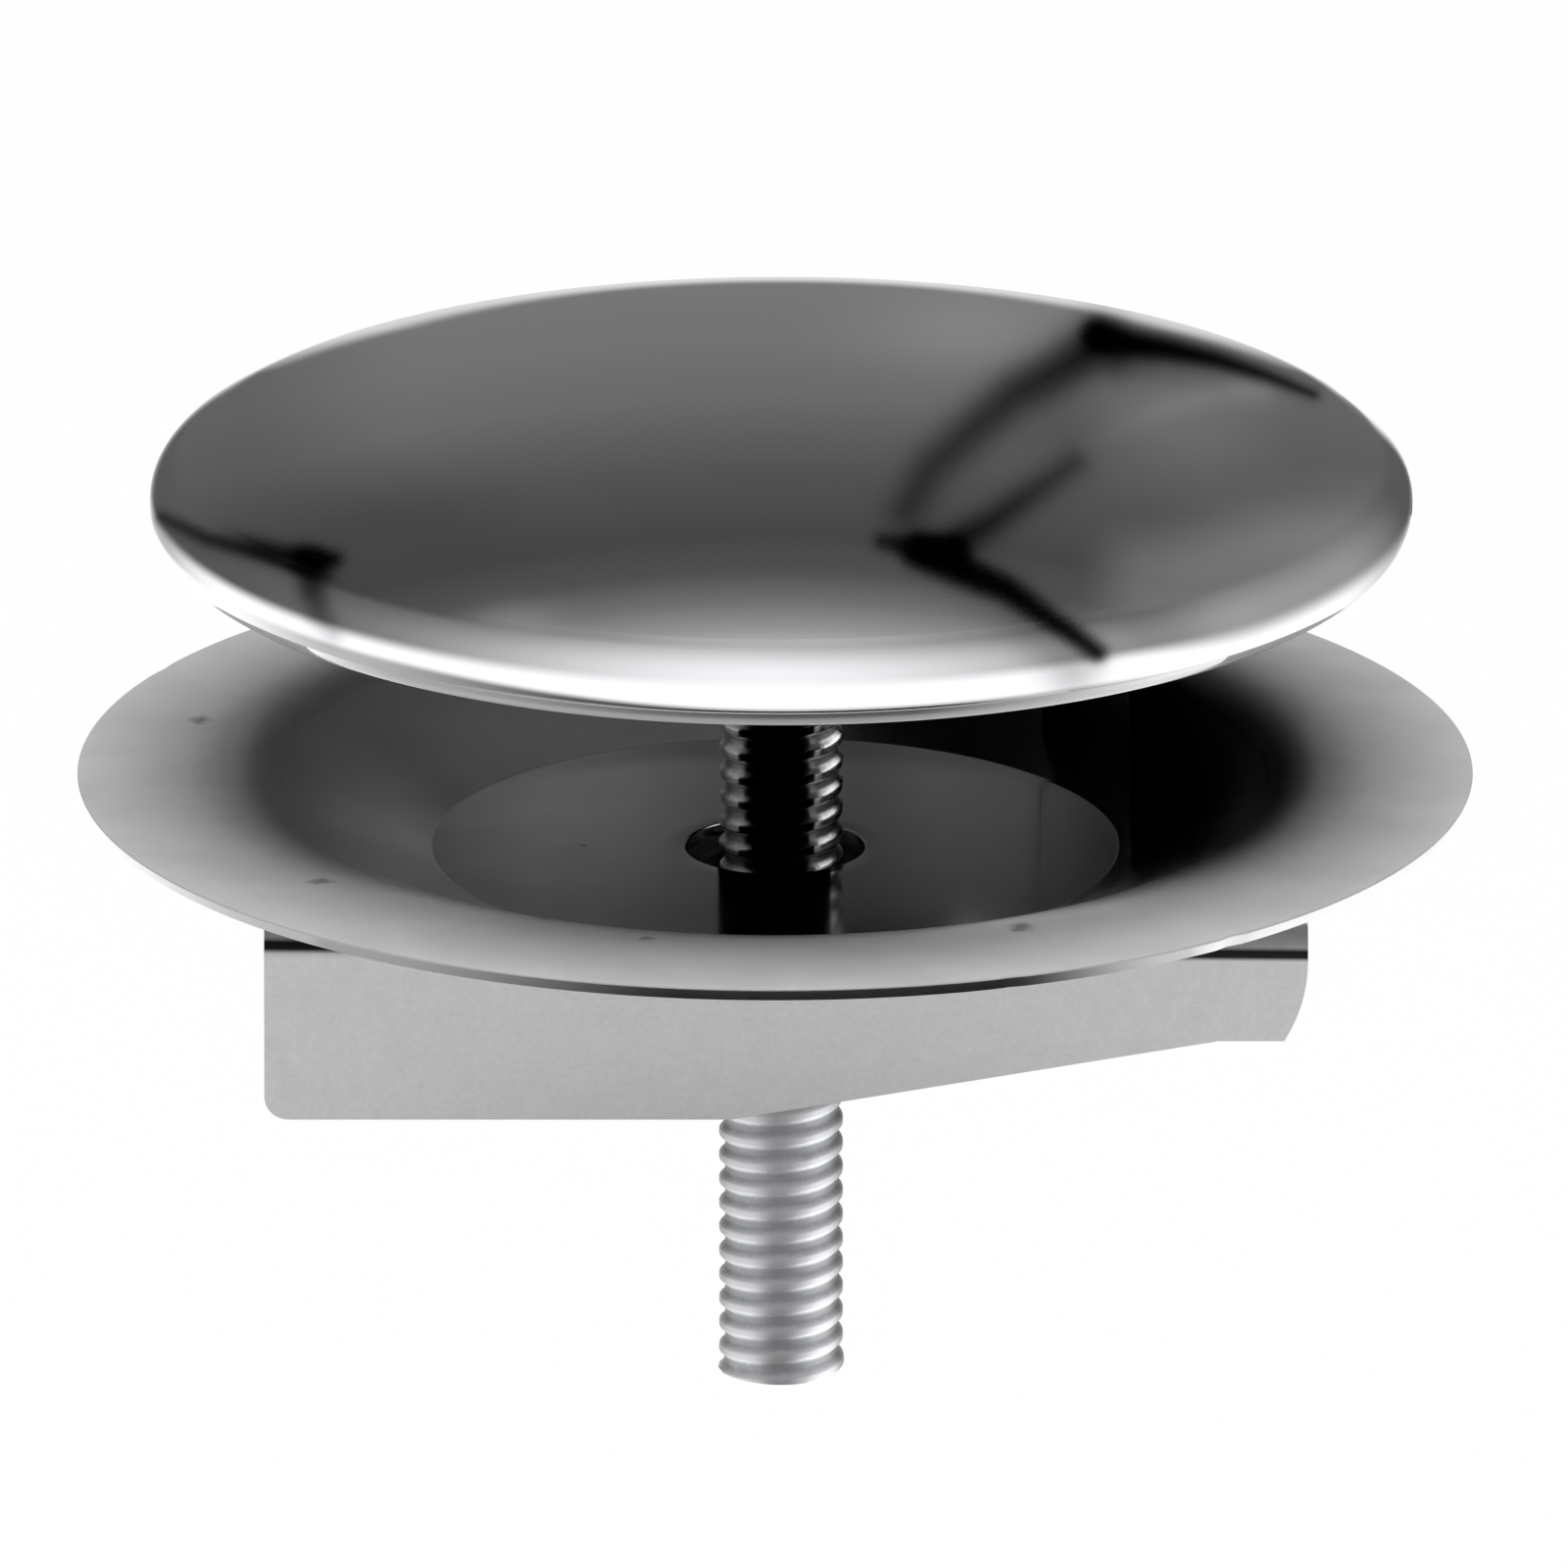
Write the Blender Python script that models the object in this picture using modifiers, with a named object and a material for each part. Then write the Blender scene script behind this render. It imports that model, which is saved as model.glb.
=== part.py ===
"""Faucet hole cover: a plated cap on a threaded stud, drawn down on a sink deck by a dished
washer and a wing bar.

The origin is the centre of the ring on which the cap seats, on the stud's axis, with +Z up.
The cap lies above it, and the stud, washer and bar hang below it. Lengths are in metres.
"""

import math

import bmesh
import bpy
from mathutils import Matrix

MM = 0.001

# Cap: one sheet pressed to a shallow dome, with its edge rolled under
CAP_DIAMETER = 63.5 * MM
CAP_SHEET = 0.8 * MM
CAP_EDGE_RADIUS = 2.2 * MM
CAP_DOME_SLOPE = math.radians(15.5)
CAP_LAND_WIDTH = 0.9 * MM
CAP_CURL_RADIUS = 1.2 * MM
CAP_CURL_ANGLE = math.radians(70)

# Hub: a tapped boss under the dome, with a fillet of solder round its top
HUB_DIAMETER = 12.7 * MM
HUB_HEIGHT = 6.0 * MM
HUB_CHAMFER = 0.6 * MM
SOLDER_LEG = 2.2 * MM

# Stud: 1/4-20 right-hand thread over its whole length of 2 inches
STUD_DIAMETER = 6.35 * MM
STUD_LENGTH = 50.8 * MM
STUD_CHAMFER = 0.5 * MM
STUD_TOP_GAP = 0.7 * MM
THREAD_PITCH = 25.4 / 20 * MM
THREAD_HALF_ANGLE = math.radians(30)

# Dished washer: loose on the stud, with its hollow side up
DISH_DIAMETER = 70.2 * MM
DISH_SHEET = 0.75 * MM
DISH_DEPTH = 4.0 * MM
DISH_FLOOR_DIAMETER = 34.6 * MM
DISH_WALL_SLOPE = math.radians(24)
DISH_BEND_RADIUS = 6.0 * MM
DISH_HOLE_DIAMETER = 9.0 * MM
# Being loose, it hangs this far off the stud's axis as it is shown
DISH_OFFSET = -0.3 * MM

# Wing bar: a channel with its open side down and a tapped collar drawn down from its web
BAR_LENGTH = 52.4 * MM
# The middle of the bar lies this far from its tapped hole
BAR_SHIFT = 0.25 * MM
BAR_WIDTH = 22.0 * MM
BAR_SHEET = 1.2 * MM
BAR_BEND_RADIUS = 1.5 * MM
WING_HIGH = 9.85 * MM
WING_LOW = 5.7 * MM
WING_TAPER_START = -2.8 * MM
WING_TAPER_END = 21.7 * MM
WING_CORNER_RADIUS = 1.2 * MM
WING_SWEEP_RADIUS = 8.0 * MM
COLLAR_DIAMETER = 9.6 * MM
COLLAR_DEPTH = 2.6 * MM

# Room between the cap's seat and the washer's rim as it is shown, where the deck goes
DECK_ROOM = 12.1 * MM
# Gap kept between pieces that rest on or screw into each other
FIT_GAP = 0.3 * MM

# Facets of a full turn on large and small pieces and on the thread, then of each rounded edge
ROUND_STEPS = 64
SMALL_STEPS = 40
THREAD_STEPS = 16
DOME_STEPS = 6
EDGE_STEPS = 8
CURL_STEPS = 3
BEND_STEPS = 4
SWEEP_STEPS = 5
MERGE_DISTANCE = 0.01 * MM
CUTTER_MARGIN = 2.0 * MM
SHARP_ANGLE = math.radians(30)

# Heights that follow from the sizes above
TANGENT = math.pi / 2 - CAP_DOME_SLOPE
EDGE_CENTRE_R = CAP_DIAMETER / 2 - CAP_EDGE_RADIUS
DOME_EDGE_R = EDGE_CENTRE_R + CAP_EDGE_RADIUS * math.cos(TANGENT)
DOME_EDGE_Z = CAP_EDGE_RADIUS * (1 + math.sin(TANGENT))
DOME_RADIUS = DOME_EDGE_R / math.sin(CAP_DOME_SLOPE)
DOME_CENTRE_Z = DOME_EDGE_Z - DOME_RADIUS * math.cos(CAP_DOME_SLOPE)
STUD_TOP = DOME_CENTRE_Z + DOME_RADIUS - CAP_SHEET - STUD_TOP_GAP
RIM_TOP = -DECK_ROOM
FLOOR_TOP = RIM_TOP - DISH_DEPTH
BAR_TOP = FLOOR_TOP - DISH_SHEET - FIT_GAP


def clear_scene():
    """Remove whatever the scene holds."""
    for obj in list(bpy.data.objects):
        bpy.data.objects.remove(obj, do_unlink=True)


def make_collection(name):
    """A collection linked to the scene."""
    collection = bpy.data.collections.new(name)
    bpy.context.scene.collection.children.link(collection)
    return collection


def metal(name, colour, roughness):
    """A metal finish of one colour."""
    material = bpy.data.materials.new(name)
    material.use_nodes = True
    shader = material.node_tree.nodes["Principled BSDF"]
    shader.inputs["Base Color"].default_value = (*colour, 1)
    shader.inputs["Metallic"].default_value = 1
    shader.inputs["Roughness"].default_value = roughness
    material.diffuse_color = (*colour, 1)
    return material


def add_object(name, mesh, collection, z=0.0, x=0.0, material=None):
    """A mesh object at height z, on the stud's axis unless x moves it off."""
    obj = bpy.data.objects.new(name, mesh)
    obj.location = (x, 0, z)
    if material:
        mesh.materials.append(material)
    collection.objects.link(obj)
    return obj


def as_cutter(obj):
    """Mark a helper that only cuts or trims another piece."""
    obj.display_type = "WIRE"
    obj.hide_render = True
    return obj


def mesh_from(bm, name):
    """Turn a bmesh into a mesh and free it."""
    mesh = bpy.data.meshes.new(name)
    bm.to_mesh(mesh)
    bm.free()
    return mesh


def arc(centre_r, centre_z, radius, start, end, steps):
    """Points (r, z) along an arc; angles are from the outward direction, up is positive."""
    points = []
    for i in range(steps + 1):
        angle = start + (end - start) * i / steps
        points.append((centre_r + radius * math.cos(angle), centre_z + radius * math.sin(angle)))
    return points


def profile_mesh(name, points, closed=False):
    """A chain of edges in the XZ plane through points (r, z)."""
    mesh = bpy.data.meshes.new(name)
    edges = [(i, i + 1) for i in range(len(points) - 1)]
    if closed:
        edges.append((len(points) - 1, 0))
    mesh.from_pydata([(r, 0, z) for r, z in points], edges, [])
    return mesh


def add_screw(obj, steps, rise=0.0, turns=1):
    """Turn a profile about the Z axis, rising by the given height on each turn."""
    screw = obj.modifiers.new("turn", "SCREW")
    screw.axis = "Z"
    screw.angle = 2 * math.pi
    screw.steps = steps
    screw.render_steps = steps
    screw.screw_offset = rise
    screw.iterations = turns
    screw.use_merge_vertices = rise == 0
    screw.merge_threshold = MERGE_DISTANCE
    screw.use_smooth_shade = True


def add_wall(obj, thickness):
    """Give an open surface its sheet thickness, on the side that its normals point away from."""
    wall = obj.modifiers.new("sheet", "SOLIDIFY")
    wall.thickness = thickness
    wall.offset = -1
    wall.use_even_offset = True


def add_boolean(obj, other, operation):
    """Cut, join or trim one piece with another."""
    boolean = obj.modifiers.new(other.name, "BOOLEAN")
    boolean.object = other
    boolean.operation = operation
    boolean.solver = "EXACT"


def finish_mesh(obj):
    """Apply a piece's modifiers, then shade it smooth between edges sharper than SHARP_ANGLE."""
    depsgraph = bpy.context.evaluated_depsgraph_get()
    finished = bpy.data.meshes.new_from_object(obj.evaluated_get(depsgraph))
    finished.name = obj.name
    obj.modifiers.clear()
    obj.data = finished
    finished.shade_smooth()
    finished.set_sharp_from_angle(angle=SHARP_ANGLE)


def close_thread_end(bm, edges):
    """Close one open end of a screw thread with a fan from a point on the axis."""
    heights = [v.co.z for edge in edges for v in edge.verts]
    tip = bm.verts.new((0, 0, (min(heights) + max(heights)) / 2))
    for edge in edges:
        bm.faces.new((*edge.verts, tip))


def thread_mesh(name, clearance, low, high):
    """A right-hand screw thread that reaches at least from low to high, in world heights.

    A thread with a clearance is larger all round, and cuts the hole that the stud runs in. All
    threads share one phase, so the stud stays in line with the holes that are cut for it.
    """
    crest_flat = THREAD_PITCH / 8
    root_flat = THREAD_PITCH / 4
    flank = (THREAD_PITCH - crest_flat - root_flat) / 2
    depth = flank / math.tan(THREAD_HALF_ANGLE)
    crest_r = STUD_DIAMETER / 2 + clearance
    root_r = crest_r - depth
    first = math.floor(low / THREAD_PITCH)
    turns = math.ceil(high / THREAD_PITCH) + 1 - first
    start = first * THREAD_PITCH
    tooth = [
        (crest_r, start),
        (crest_r, start - crest_flat),
        (root_r, start - crest_flat - flank),
        (root_r, start - crest_flat - flank - root_flat),
        (crest_r, start - THREAD_PITCH),
    ]
    guide = bpy.data.objects.new(name, profile_mesh(name, tooth))
    bpy.context.scene.collection.objects.link(guide)
    add_screw(guide, THREAD_STEPS, rise=THREAD_PITCH, turns=turns)
    depsgraph = bpy.context.evaluated_depsgraph_get()
    swept = bpy.data.meshes.new_from_object(guide.evaluated_get(depsgraph))
    bpy.data.objects.remove(guide, do_unlink=True)
    bm = bmesh.new()
    bm.from_mesh(swept)
    bpy.data.meshes.remove(swept)
    bmesh.ops.remove_doubles(bm, verts=bm.verts, dist=MERGE_DISTANCE)
    open_edges = [edge for edge in bm.edges if edge.is_boundary]
    middle = (low + high) / 2
    for above in (False, True):
        end = [e for e in open_edges if (e.verts[0].co.z > middle) == above]
        close_thread_end(bm, end)
    bmesh.ops.recalc_face_normals(bm, faces=bm.faces)
    return mesh_from(bm, name)


def make_tap(name, low, high, cutters):
    """A cutter for a tapped hole between two world heights."""
    mesh = thread_mesh(name, FIT_GAP, low - CUTTER_MARGIN, high + CUTTER_MARGIN)
    return as_cutter(add_object(name, mesh, cutters))


def dome_underside(r):
    """Height of the dome's inner face at a distance from the axis."""
    return DOME_CENTRE_Z + math.sqrt((DOME_RADIUS - CAP_SHEET) ** 2 - r**2)


def make_cap(parts):
    """The domed cap: one sheet whose edge rolls down and under, to a flat land and a curl."""
    dome = arc(0, DOME_CENTRE_Z, DOME_RADIUS, math.pi / 2, TANGENT, DOME_STEPS)
    dome[0] = (0, DOME_CENTRE_Z + DOME_RADIUS)
    down = -math.pi / 2
    edge = arc(EDGE_CENTRE_R, CAP_EDGE_RADIUS, CAP_EDGE_RADIUS, TANGENT, down, EDGE_STEPS)
    curl_r = EDGE_CENTRE_R - CAP_LAND_WIDTH
    curl_end = down - CAP_CURL_ANGLE
    curl = arc(curl_r, CAP_CURL_RADIUS, CAP_CURL_RADIUS, down, curl_end, CURL_STEPS)
    mesh = profile_mesh("cap_shell", dome + edge[1:] + curl)
    chrome = metal("chrome_plate", (0.78, 0.78, 0.79), 0.05)
    cap = add_object("cap_shell", mesh, parts, material=chrome)
    add_screw(cap, ROUND_STEPS)
    add_wall(cap, CAP_SHEET)
    return cap


def make_hub(parts, cutters):
    """The tapped boss that holds the stud under the dome."""
    radius = HUB_DIAMETER / 2
    top = dome_underside(radius) - FIT_GAP
    bottom = top - HUB_HEIGHT
    turned = [
        (0, top),
        (radius, top),
        (radius, bottom + HUB_CHAMFER),
        (radius - HUB_CHAMFER, bottom),
        (0, bottom),
    ]
    mesh = profile_mesh("hub_boss", turned)
    brass = metal("bare_brass", (0.72, 0.53, 0.28), 0.32)
    hub = add_object("hub_boss", mesh, parts, material=brass)
    add_screw(hub, SMALL_STEPS)
    add_boolean(hub, make_tap("hub_tap", bottom, top, cutters), "DIFFERENCE")
    return hub


def make_solder(parts):
    """The fillet of solder between the hub's side and the dome."""
    inner = HUB_DIAMETER / 2 + FIT_GAP
    outer = inner + SOLDER_LEG
    section = [
        (inner, dome_underside(inner) - FIT_GAP),
        (outer, dome_underside(outer) - FIT_GAP),
        (inner + SOLDER_LEG / 3, dome_underside(inner) - FIT_GAP - SOLDER_LEG / 3),
        (inner, dome_underside(inner) - FIT_GAP - SOLDER_LEG),
    ]
    mesh = profile_mesh("solder_ring", section, closed=True)
    solder = metal("soft_solder", (0.60, 0.60, 0.58), 0.4)
    ring = add_object("solder_ring", mesh, parts, material=solder)
    add_screw(ring, SMALL_STEPS)
    return ring


def make_stud(parts, cutters):
    """The threaded stud: a thread trimmed to length by a chamfered blank."""
    bottom = STUD_TOP - STUD_LENGTH
    reach = STUD_DIAMETER / 2 + FIT_GAP
    end_r = STUD_DIAMETER / 2 - STUD_CHAMFER
    cone = reach - end_r
    outline = [
        (0, STUD_TOP),
        (end_r, STUD_TOP),
        (reach, STUD_TOP - cone),
        (reach, bottom + cone),
        (end_r, bottom),
        (0, bottom),
    ]
    blank = add_object("stud_blank", profile_mesh("stud_blank", outline), cutters)
    add_screw(as_cutter(blank), SMALL_STEPS)
    mesh = thread_mesh("threaded_stud", 0, bottom, STUD_TOP)
    steel = metal("zinc_plated_steel", (0.62, 0.62, 0.63), 0.25)
    stud = add_object("threaded_stud", mesh, parts, material=steel)
    add_boolean(stud, blank, "INTERSECT")
    return stud


def make_dish(parts):
    """The dished washer, drawn from its upper face: floor, sloped wall, bend and flat rim."""
    floor_z = -DISH_DEPTH
    floor_r = DISH_FLOOR_DIAMETER / 2
    wall_meets_rim = floor_r + DISH_DEPTH / math.tan(DISH_WALL_SLOPE)
    bend_r = wall_meets_rim + DISH_BEND_RADIUS * math.tan(DISH_WALL_SLOPE / 2)
    up = math.pi / 2
    bend = arc(bend_r, -DISH_BEND_RADIUS, DISH_BEND_RADIUS, up + DISH_WALL_SLOPE, up, BEND_STEPS)
    upper = [(DISH_HOLE_DIAMETER / 2, floor_z), (floor_r, floor_z)]
    upper += bend
    upper.append((DISH_DIAMETER / 2, 0))
    mesh = profile_mesh("dish_washer", upper)
    zinc = metal("satin_zinc", (0.56, 0.56, 0.57), 0.35)
    dish = add_object("dish_washer", mesh, parts, z=RIM_TOP, x=DISH_OFFSET, material=zinc)
    add_screw(dish, ROUND_STEPS)
    add_wall(dish, DISH_SHEET)
    return dish


def make_channel(parts):
    """The bar's bent sheet before its wings are trimmed: a web and two full-height flanges."""
    half = BAR_WIDTH / 2
    bend = BAR_BEND_RADIUS
    left_bend = arc(-half + bend, -bend, bend, math.pi, math.pi / 2, BEND_STEPS)
    right_bend = arc(half - bend, -bend, bend, math.pi / 2, 0, BEND_STEPS)
    section = [(-half, -WING_HIGH)] + left_bend + right_bend + [(half, -WING_HIGH)]
    bm = bmesh.new()
    end = [bm.verts.new((-BAR_LENGTH / 2, y, z)) for y, z in section]
    edges = [bm.edges.new(pair) for pair in zip(end, end[1:])]
    swept = bmesh.ops.extrude_edge_only(bm, edges=edges)["geom"]
    moved = [v for v in swept if isinstance(v, bmesh.types.BMVert)]
    bmesh.ops.translate(bm, verts=moved, vec=(BAR_LENGTH, 0, 0))
    bmesh.ops.translate(bm, verts=bm.verts, vec=(BAR_SHIFT, 0, 0))
    bmesh.ops.recalc_face_normals(bm, faces=bm.faces)
    if max(bm.faces, key=lambda face: face.calc_center_median().z).normal.z < 0:
        bmesh.ops.reverse_faces(bm, faces=bm.faces)
    satin = metal("satin_steel", (0.66, 0.66, 0.66), 0.38)
    bar = add_object("bar_nut", mesh_from(bm, "bar_nut"), parts, z=BAR_TOP, material=satin)
    add_wall(bar, BAR_SHEET)
    return bar


def wing_outline():
    """The lower edge of the front wing, from its square end to its swept end, as (x, z)."""
    left = -BAR_LENGTH / 2
    right = BAR_LENGTH / 2
    corner = WING_CORNER_RADIUS
    sweep_drop = min(WING_LOW - BAR_BEND_RADIUS, WING_SWEEP_RADIUS)
    sweep = math.asin(sweep_drop / WING_SWEEP_RADIUS)
    corner_z = corner - WING_HIGH
    corner_arc = arc(left + corner, corner_z, corner, math.pi, 1.5 * math.pi, BEND_STEPS)
    sweep_x = right - WING_SWEEP_RADIUS
    sweep_arc = arc(sweep_x, -BAR_BEND_RADIUS, WING_SWEEP_RADIUS, -sweep, 0, SWEEP_STEPS)
    return corner_arc + [(WING_TAPER_START, -WING_HIGH), (WING_TAPER_END, -WING_LOW)] + sweep_arc


def make_wing_trim(name, turn, cutters):
    """A cutter that leaves one wing its outline; turned by half a turn it trims the other."""
    outline = wing_outline()
    bottom = -WING_HIGH - CUTTER_MARGIN
    outer = BAR_LENGTH / 2 + CUTTER_MARGIN
    around = [(outer, outline[-1][1]), (outer, bottom), (-outer, bottom), (-outer, outline[0][1])]
    front = -BAR_WIDTH / 2 - CUTTER_MARGIN
    inner = -BAR_WIDTH / 2 + BAR_SHEET + CUTTER_MARGIN
    bm = bmesh.new()
    face = bm.faces.new([bm.verts.new((x, front, z)) for x, z in outline + around])
    swept = bmesh.ops.extrude_face_region(bm, geom=[face])["geom"]
    moved = [v for v in swept if isinstance(v, bmesh.types.BMVert)]
    bmesh.ops.translate(bm, verts=moved, vec=(0, inner - front, 0))
    bmesh.ops.recalc_face_normals(bm, faces=bm.faces)
    bmesh.ops.transform(bm, matrix=Matrix.Rotation(turn, 4, "Z"), verts=bm.verts)
    bmesh.ops.translate(bm, verts=bm.verts, vec=(BAR_SHIFT, 0, 0))
    return as_cutter(add_object(name, mesh_from(bm, name), cutters, BAR_TOP))


def make_collar(cutters):
    """The collar that is drawn down from the web, joined to it."""
    height = BAR_SHEET / 2 + COLLAR_DEPTH
    bm = bmesh.new()
    radius = COLLAR_DIAMETER / 2
    bmesh.ops.create_cone(
        bm, cap_ends=True, segments=SMALL_STEPS, radius1=radius, radius2=radius, depth=height
    )
    centre = -BAR_SHEET / 2 - height / 2
    bmesh.ops.translate(bm, verts=bm.verts, vec=(0, 0, centre))
    return as_cutter(add_object("bar_collar", mesh_from(bm, "bar_collar"), cutters, BAR_TOP))


def make_bar(parts, cutters):
    """The wing bar: trimmed channel, drawn collar and tapped hole."""
    bar = make_channel(parts)
    add_boolean(bar, make_wing_trim("front_wing_trim", 0, cutters), "DIFFERENCE")
    add_boolean(bar, make_wing_trim("rear_wing_trim", math.pi, cutters), "DIFFERENCE")
    add_boolean(bar, make_collar(cutters), "UNION")
    bottom = BAR_TOP - BAR_SHEET - COLLAR_DEPTH
    add_boolean(bar, make_tap("bar_tap", bottom, BAR_TOP, cutters), "DIFFERENCE")
    return bar


def build():
    """Make every piece where it stands in the shown position."""
    clear_scene()
    parts = make_collection("faucet_hole_cover")
    cutters = make_collection("cutters")
    make_cap(parts)
    make_hub(parts, cutters)
    make_solder(parts)
    make_stud(parts, cutters)
    make_dish(parts)
    make_bar(parts, cutters)
    for obj in parts.objects:
        finish_mesh(obj)


build()
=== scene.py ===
import math

import bmesh
import bpy
import numpy as np
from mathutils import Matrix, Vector


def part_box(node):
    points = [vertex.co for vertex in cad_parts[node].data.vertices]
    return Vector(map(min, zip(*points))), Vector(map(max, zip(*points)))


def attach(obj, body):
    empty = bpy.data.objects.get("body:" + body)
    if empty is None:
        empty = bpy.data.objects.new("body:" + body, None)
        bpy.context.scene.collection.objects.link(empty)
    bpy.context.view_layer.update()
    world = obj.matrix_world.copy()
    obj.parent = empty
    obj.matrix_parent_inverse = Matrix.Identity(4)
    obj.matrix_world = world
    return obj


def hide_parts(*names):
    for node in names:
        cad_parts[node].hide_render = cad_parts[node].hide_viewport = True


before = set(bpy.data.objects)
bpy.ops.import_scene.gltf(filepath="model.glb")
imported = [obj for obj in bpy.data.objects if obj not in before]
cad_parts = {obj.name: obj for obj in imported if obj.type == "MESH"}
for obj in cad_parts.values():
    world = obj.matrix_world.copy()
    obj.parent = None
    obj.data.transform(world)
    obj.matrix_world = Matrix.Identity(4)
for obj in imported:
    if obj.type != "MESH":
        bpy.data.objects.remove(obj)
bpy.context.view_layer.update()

# Cap: a shallow dome pressed from one disc of sheet metal, with its edge rolled down and under
# to a narrow flat that seats on the deck. It is buffed, then plated with nickel and chromium.
MM = 0.001
TURN_STEPS = 256
MERGE_DISTANCE = 0.001 * MM
SHARP_ANGLE = math.radians(35)
# A Mix node's sockets for its two colours
COLOUR_A, COLOUR_B = 6, 7

cap_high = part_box("cap_shell")[1]
cap_sheet = 0.8 * MM
cap_edge_radius = 2.2 * MM
cap_dome_slope = 15.5
cap_land_width = 0.9 * MM
cap_curl_radius = 1.2 * MM
cap_curl_angle = 70
# Degrees below the edge's widest line where its satin begins, and over which it comes in
satin_from, satin_over = 38, 8
cap_edge_r = cap_high.x - cap_edge_radius
dome_slope = math.radians(cap_dome_slope)
dome_edge_r = cap_edge_r + cap_edge_radius * math.sin(dome_slope)
dome_radius = dome_edge_r / math.sin(dome_slope)
dome_centre_z = cap_edge_radius * (1 + math.cos(dome_slope)) - dome_radius * math.cos(dome_slope)


def set_inputs(tree, node, inputs):
    """Give a node's inputs, by place or name, a number, a socket or another node's main output.
    None leaves one as it is."""
    for name, value in inputs.items():
        if isinstance(value, bpy.types.Node):
            value = next(output for output in value.outputs if output.enabled)
        if isinstance(value, bpy.types.NodeSocket):
            tree.links.new(value, node.inputs[name])
        elif value is not None:
            node.inputs[name].default_value = value


def add_node(tree, kind, *values, inputs=None, **settings):
    """Add a node with its settings, and give its inputs in order or by name."""
    node = tree.nodes.new(kind)
    for name, value in settings.items():
        setattr(node, name, value)
    set_inputs(tree, node, {**dict(enumerate(values)), **(inputs or {})})
    return node


def arc(centre, radius, start, end, steps):
    """Points (r, z) on an arc; degrees count from the outward direction, upwards positive."""
    angles = np.radians(np.linspace(start, end, steps + 1))
    return [(centre[0] + radius * math.cos(a), centre[1] + radius * math.sin(a)) for a in angles]


def sheet_end(centre, mid_radius, thickness, angle, turn):
    """The rounded edge of a bent sheet, from its one face round to the other."""
    middle = arc(centre, mid_radius, angle, angle, 1)[0]
    return arc(middle, thickness / 2, angle, angle + 180 * turn, 8)[1:-1]


def group_sockets(tree, **kinds):
    """Give a geometry group its named inputs and one geometry output."""
    for name, kind in kinds.items():
        label = name.replace("_", " ").capitalize()
        tree.interface.new_socket(label, in_out="INPUT", socket_type="NodeSocket" + kind)
    tree.interface.new_socket("Mesh", in_out="OUTPUT", socket_type="NodeSocketGeometry")


def finish_group(tree, given, grid, angle, radius, z):
    """Lay the grid's points round the Z axis and merge coincident ones, shade smooth, and end in
    Realize Instances and Set Material."""
    cosine = add_node(tree, "ShaderNodeMath", angle, operation="COSINE")
    sine = add_node(tree, "ShaderNodeMath", angle, operation="SINE")
    x = add_node(tree, "ShaderNodeMath", radius, cosine, operation="MULTIPLY")
    y = add_node(tree, "ShaderNodeMath", radius, sine, operation="MULTIPLY")
    point = add_node(tree, "ShaderNodeCombineXYZ", x, y, z)
    moved = add_node(tree, "GeometryNodeSetPosition", grid, inputs={"Position": point})
    merged = add_node(tree, "GeometryNodeMergeByDistance", moved, inputs={"Distance": MERGE_DISTANCE})
    smooth = add_node(tree, "GeometryNodeSetShadeSmooth", merged)
    real = add_node(tree, "GeometryNodeRealizeInstances", smooth)
    done = add_node(tree, "GeometryNodeSetMaterial", real, inputs={"Material": given["Material"]})
    add_node(tree, "NodeGroupOutput", done)


def grid_places(tree, columns, rows):
    """A flat grid of columns by rows, with the share of the way along each as u and v."""
    grid = add_node(tree, "GeometryNodeMeshGrid", 1, 1, columns, rows)
    place = add_node(tree, "ShaderNodeSeparateXYZ", add_node(tree, "GeometryNodeInputPosition"))
    u = add_node(tree, "ShaderNodeMath", place.outputs["X"], 0.5, operation="ADD")
    v = add_node(tree, "ShaderNodeMath", place.outputs["Y"], 0.5, operation="ADD")
    return grid, u, v


def turning_group():
    """Turns a chain of points in the XZ plane about the Z axis, closed at its seam and poles."""
    tree = bpy.data.node_groups.new("turned_about_the_stud", "GeometryNodeTree")
    group_sockets(tree, outline="Geometry", steps="Int", material="Material")
    given = add_node(tree, "NodeGroupInput").outputs
    size = add_node(tree, "GeometryNodeAttributeDomainSize", given["Outline"])
    count = size.outputs["Point Count"]
    columns = add_node(tree, "ShaderNodeMath", given["Steps"], 1, operation="ADD")
    grid, u, v = grid_places(tree, columns, count)
    last = add_node(tree, "ShaderNodeMath", count, 1, operation="SUBTRACT")
    along = add_node(tree, "ShaderNodeMath", v, last, operation="MULTIPLY")
    row = add_node(tree, "ShaderNodeMath", along, operation="ROUND")
    wanted = {"Value": add_node(tree, "GeometryNodeInputPosition"), "Index": row}
    outline_point = add_node(
        tree, "GeometryNodeSampleIndex", given["Outline"], inputs=wanted, data_type="FLOAT_VECTOR"
    )
    profile = add_node(tree, "ShaderNodeSeparateXYZ", outline_point).outputs
    angle = add_node(tree, "ShaderNodeMath", u, -2 * math.pi, operation="MULTIPLY")
    finish_group(tree, given, grid, angle, profile["X"], profile["Z"])
    return tree


def in_scene(name, data):
    """A new object in the scene."""
    added = bpy.data.objects.new(name, data)
    bpy.context.scene.collection.objects.link(added)
    return added


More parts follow.
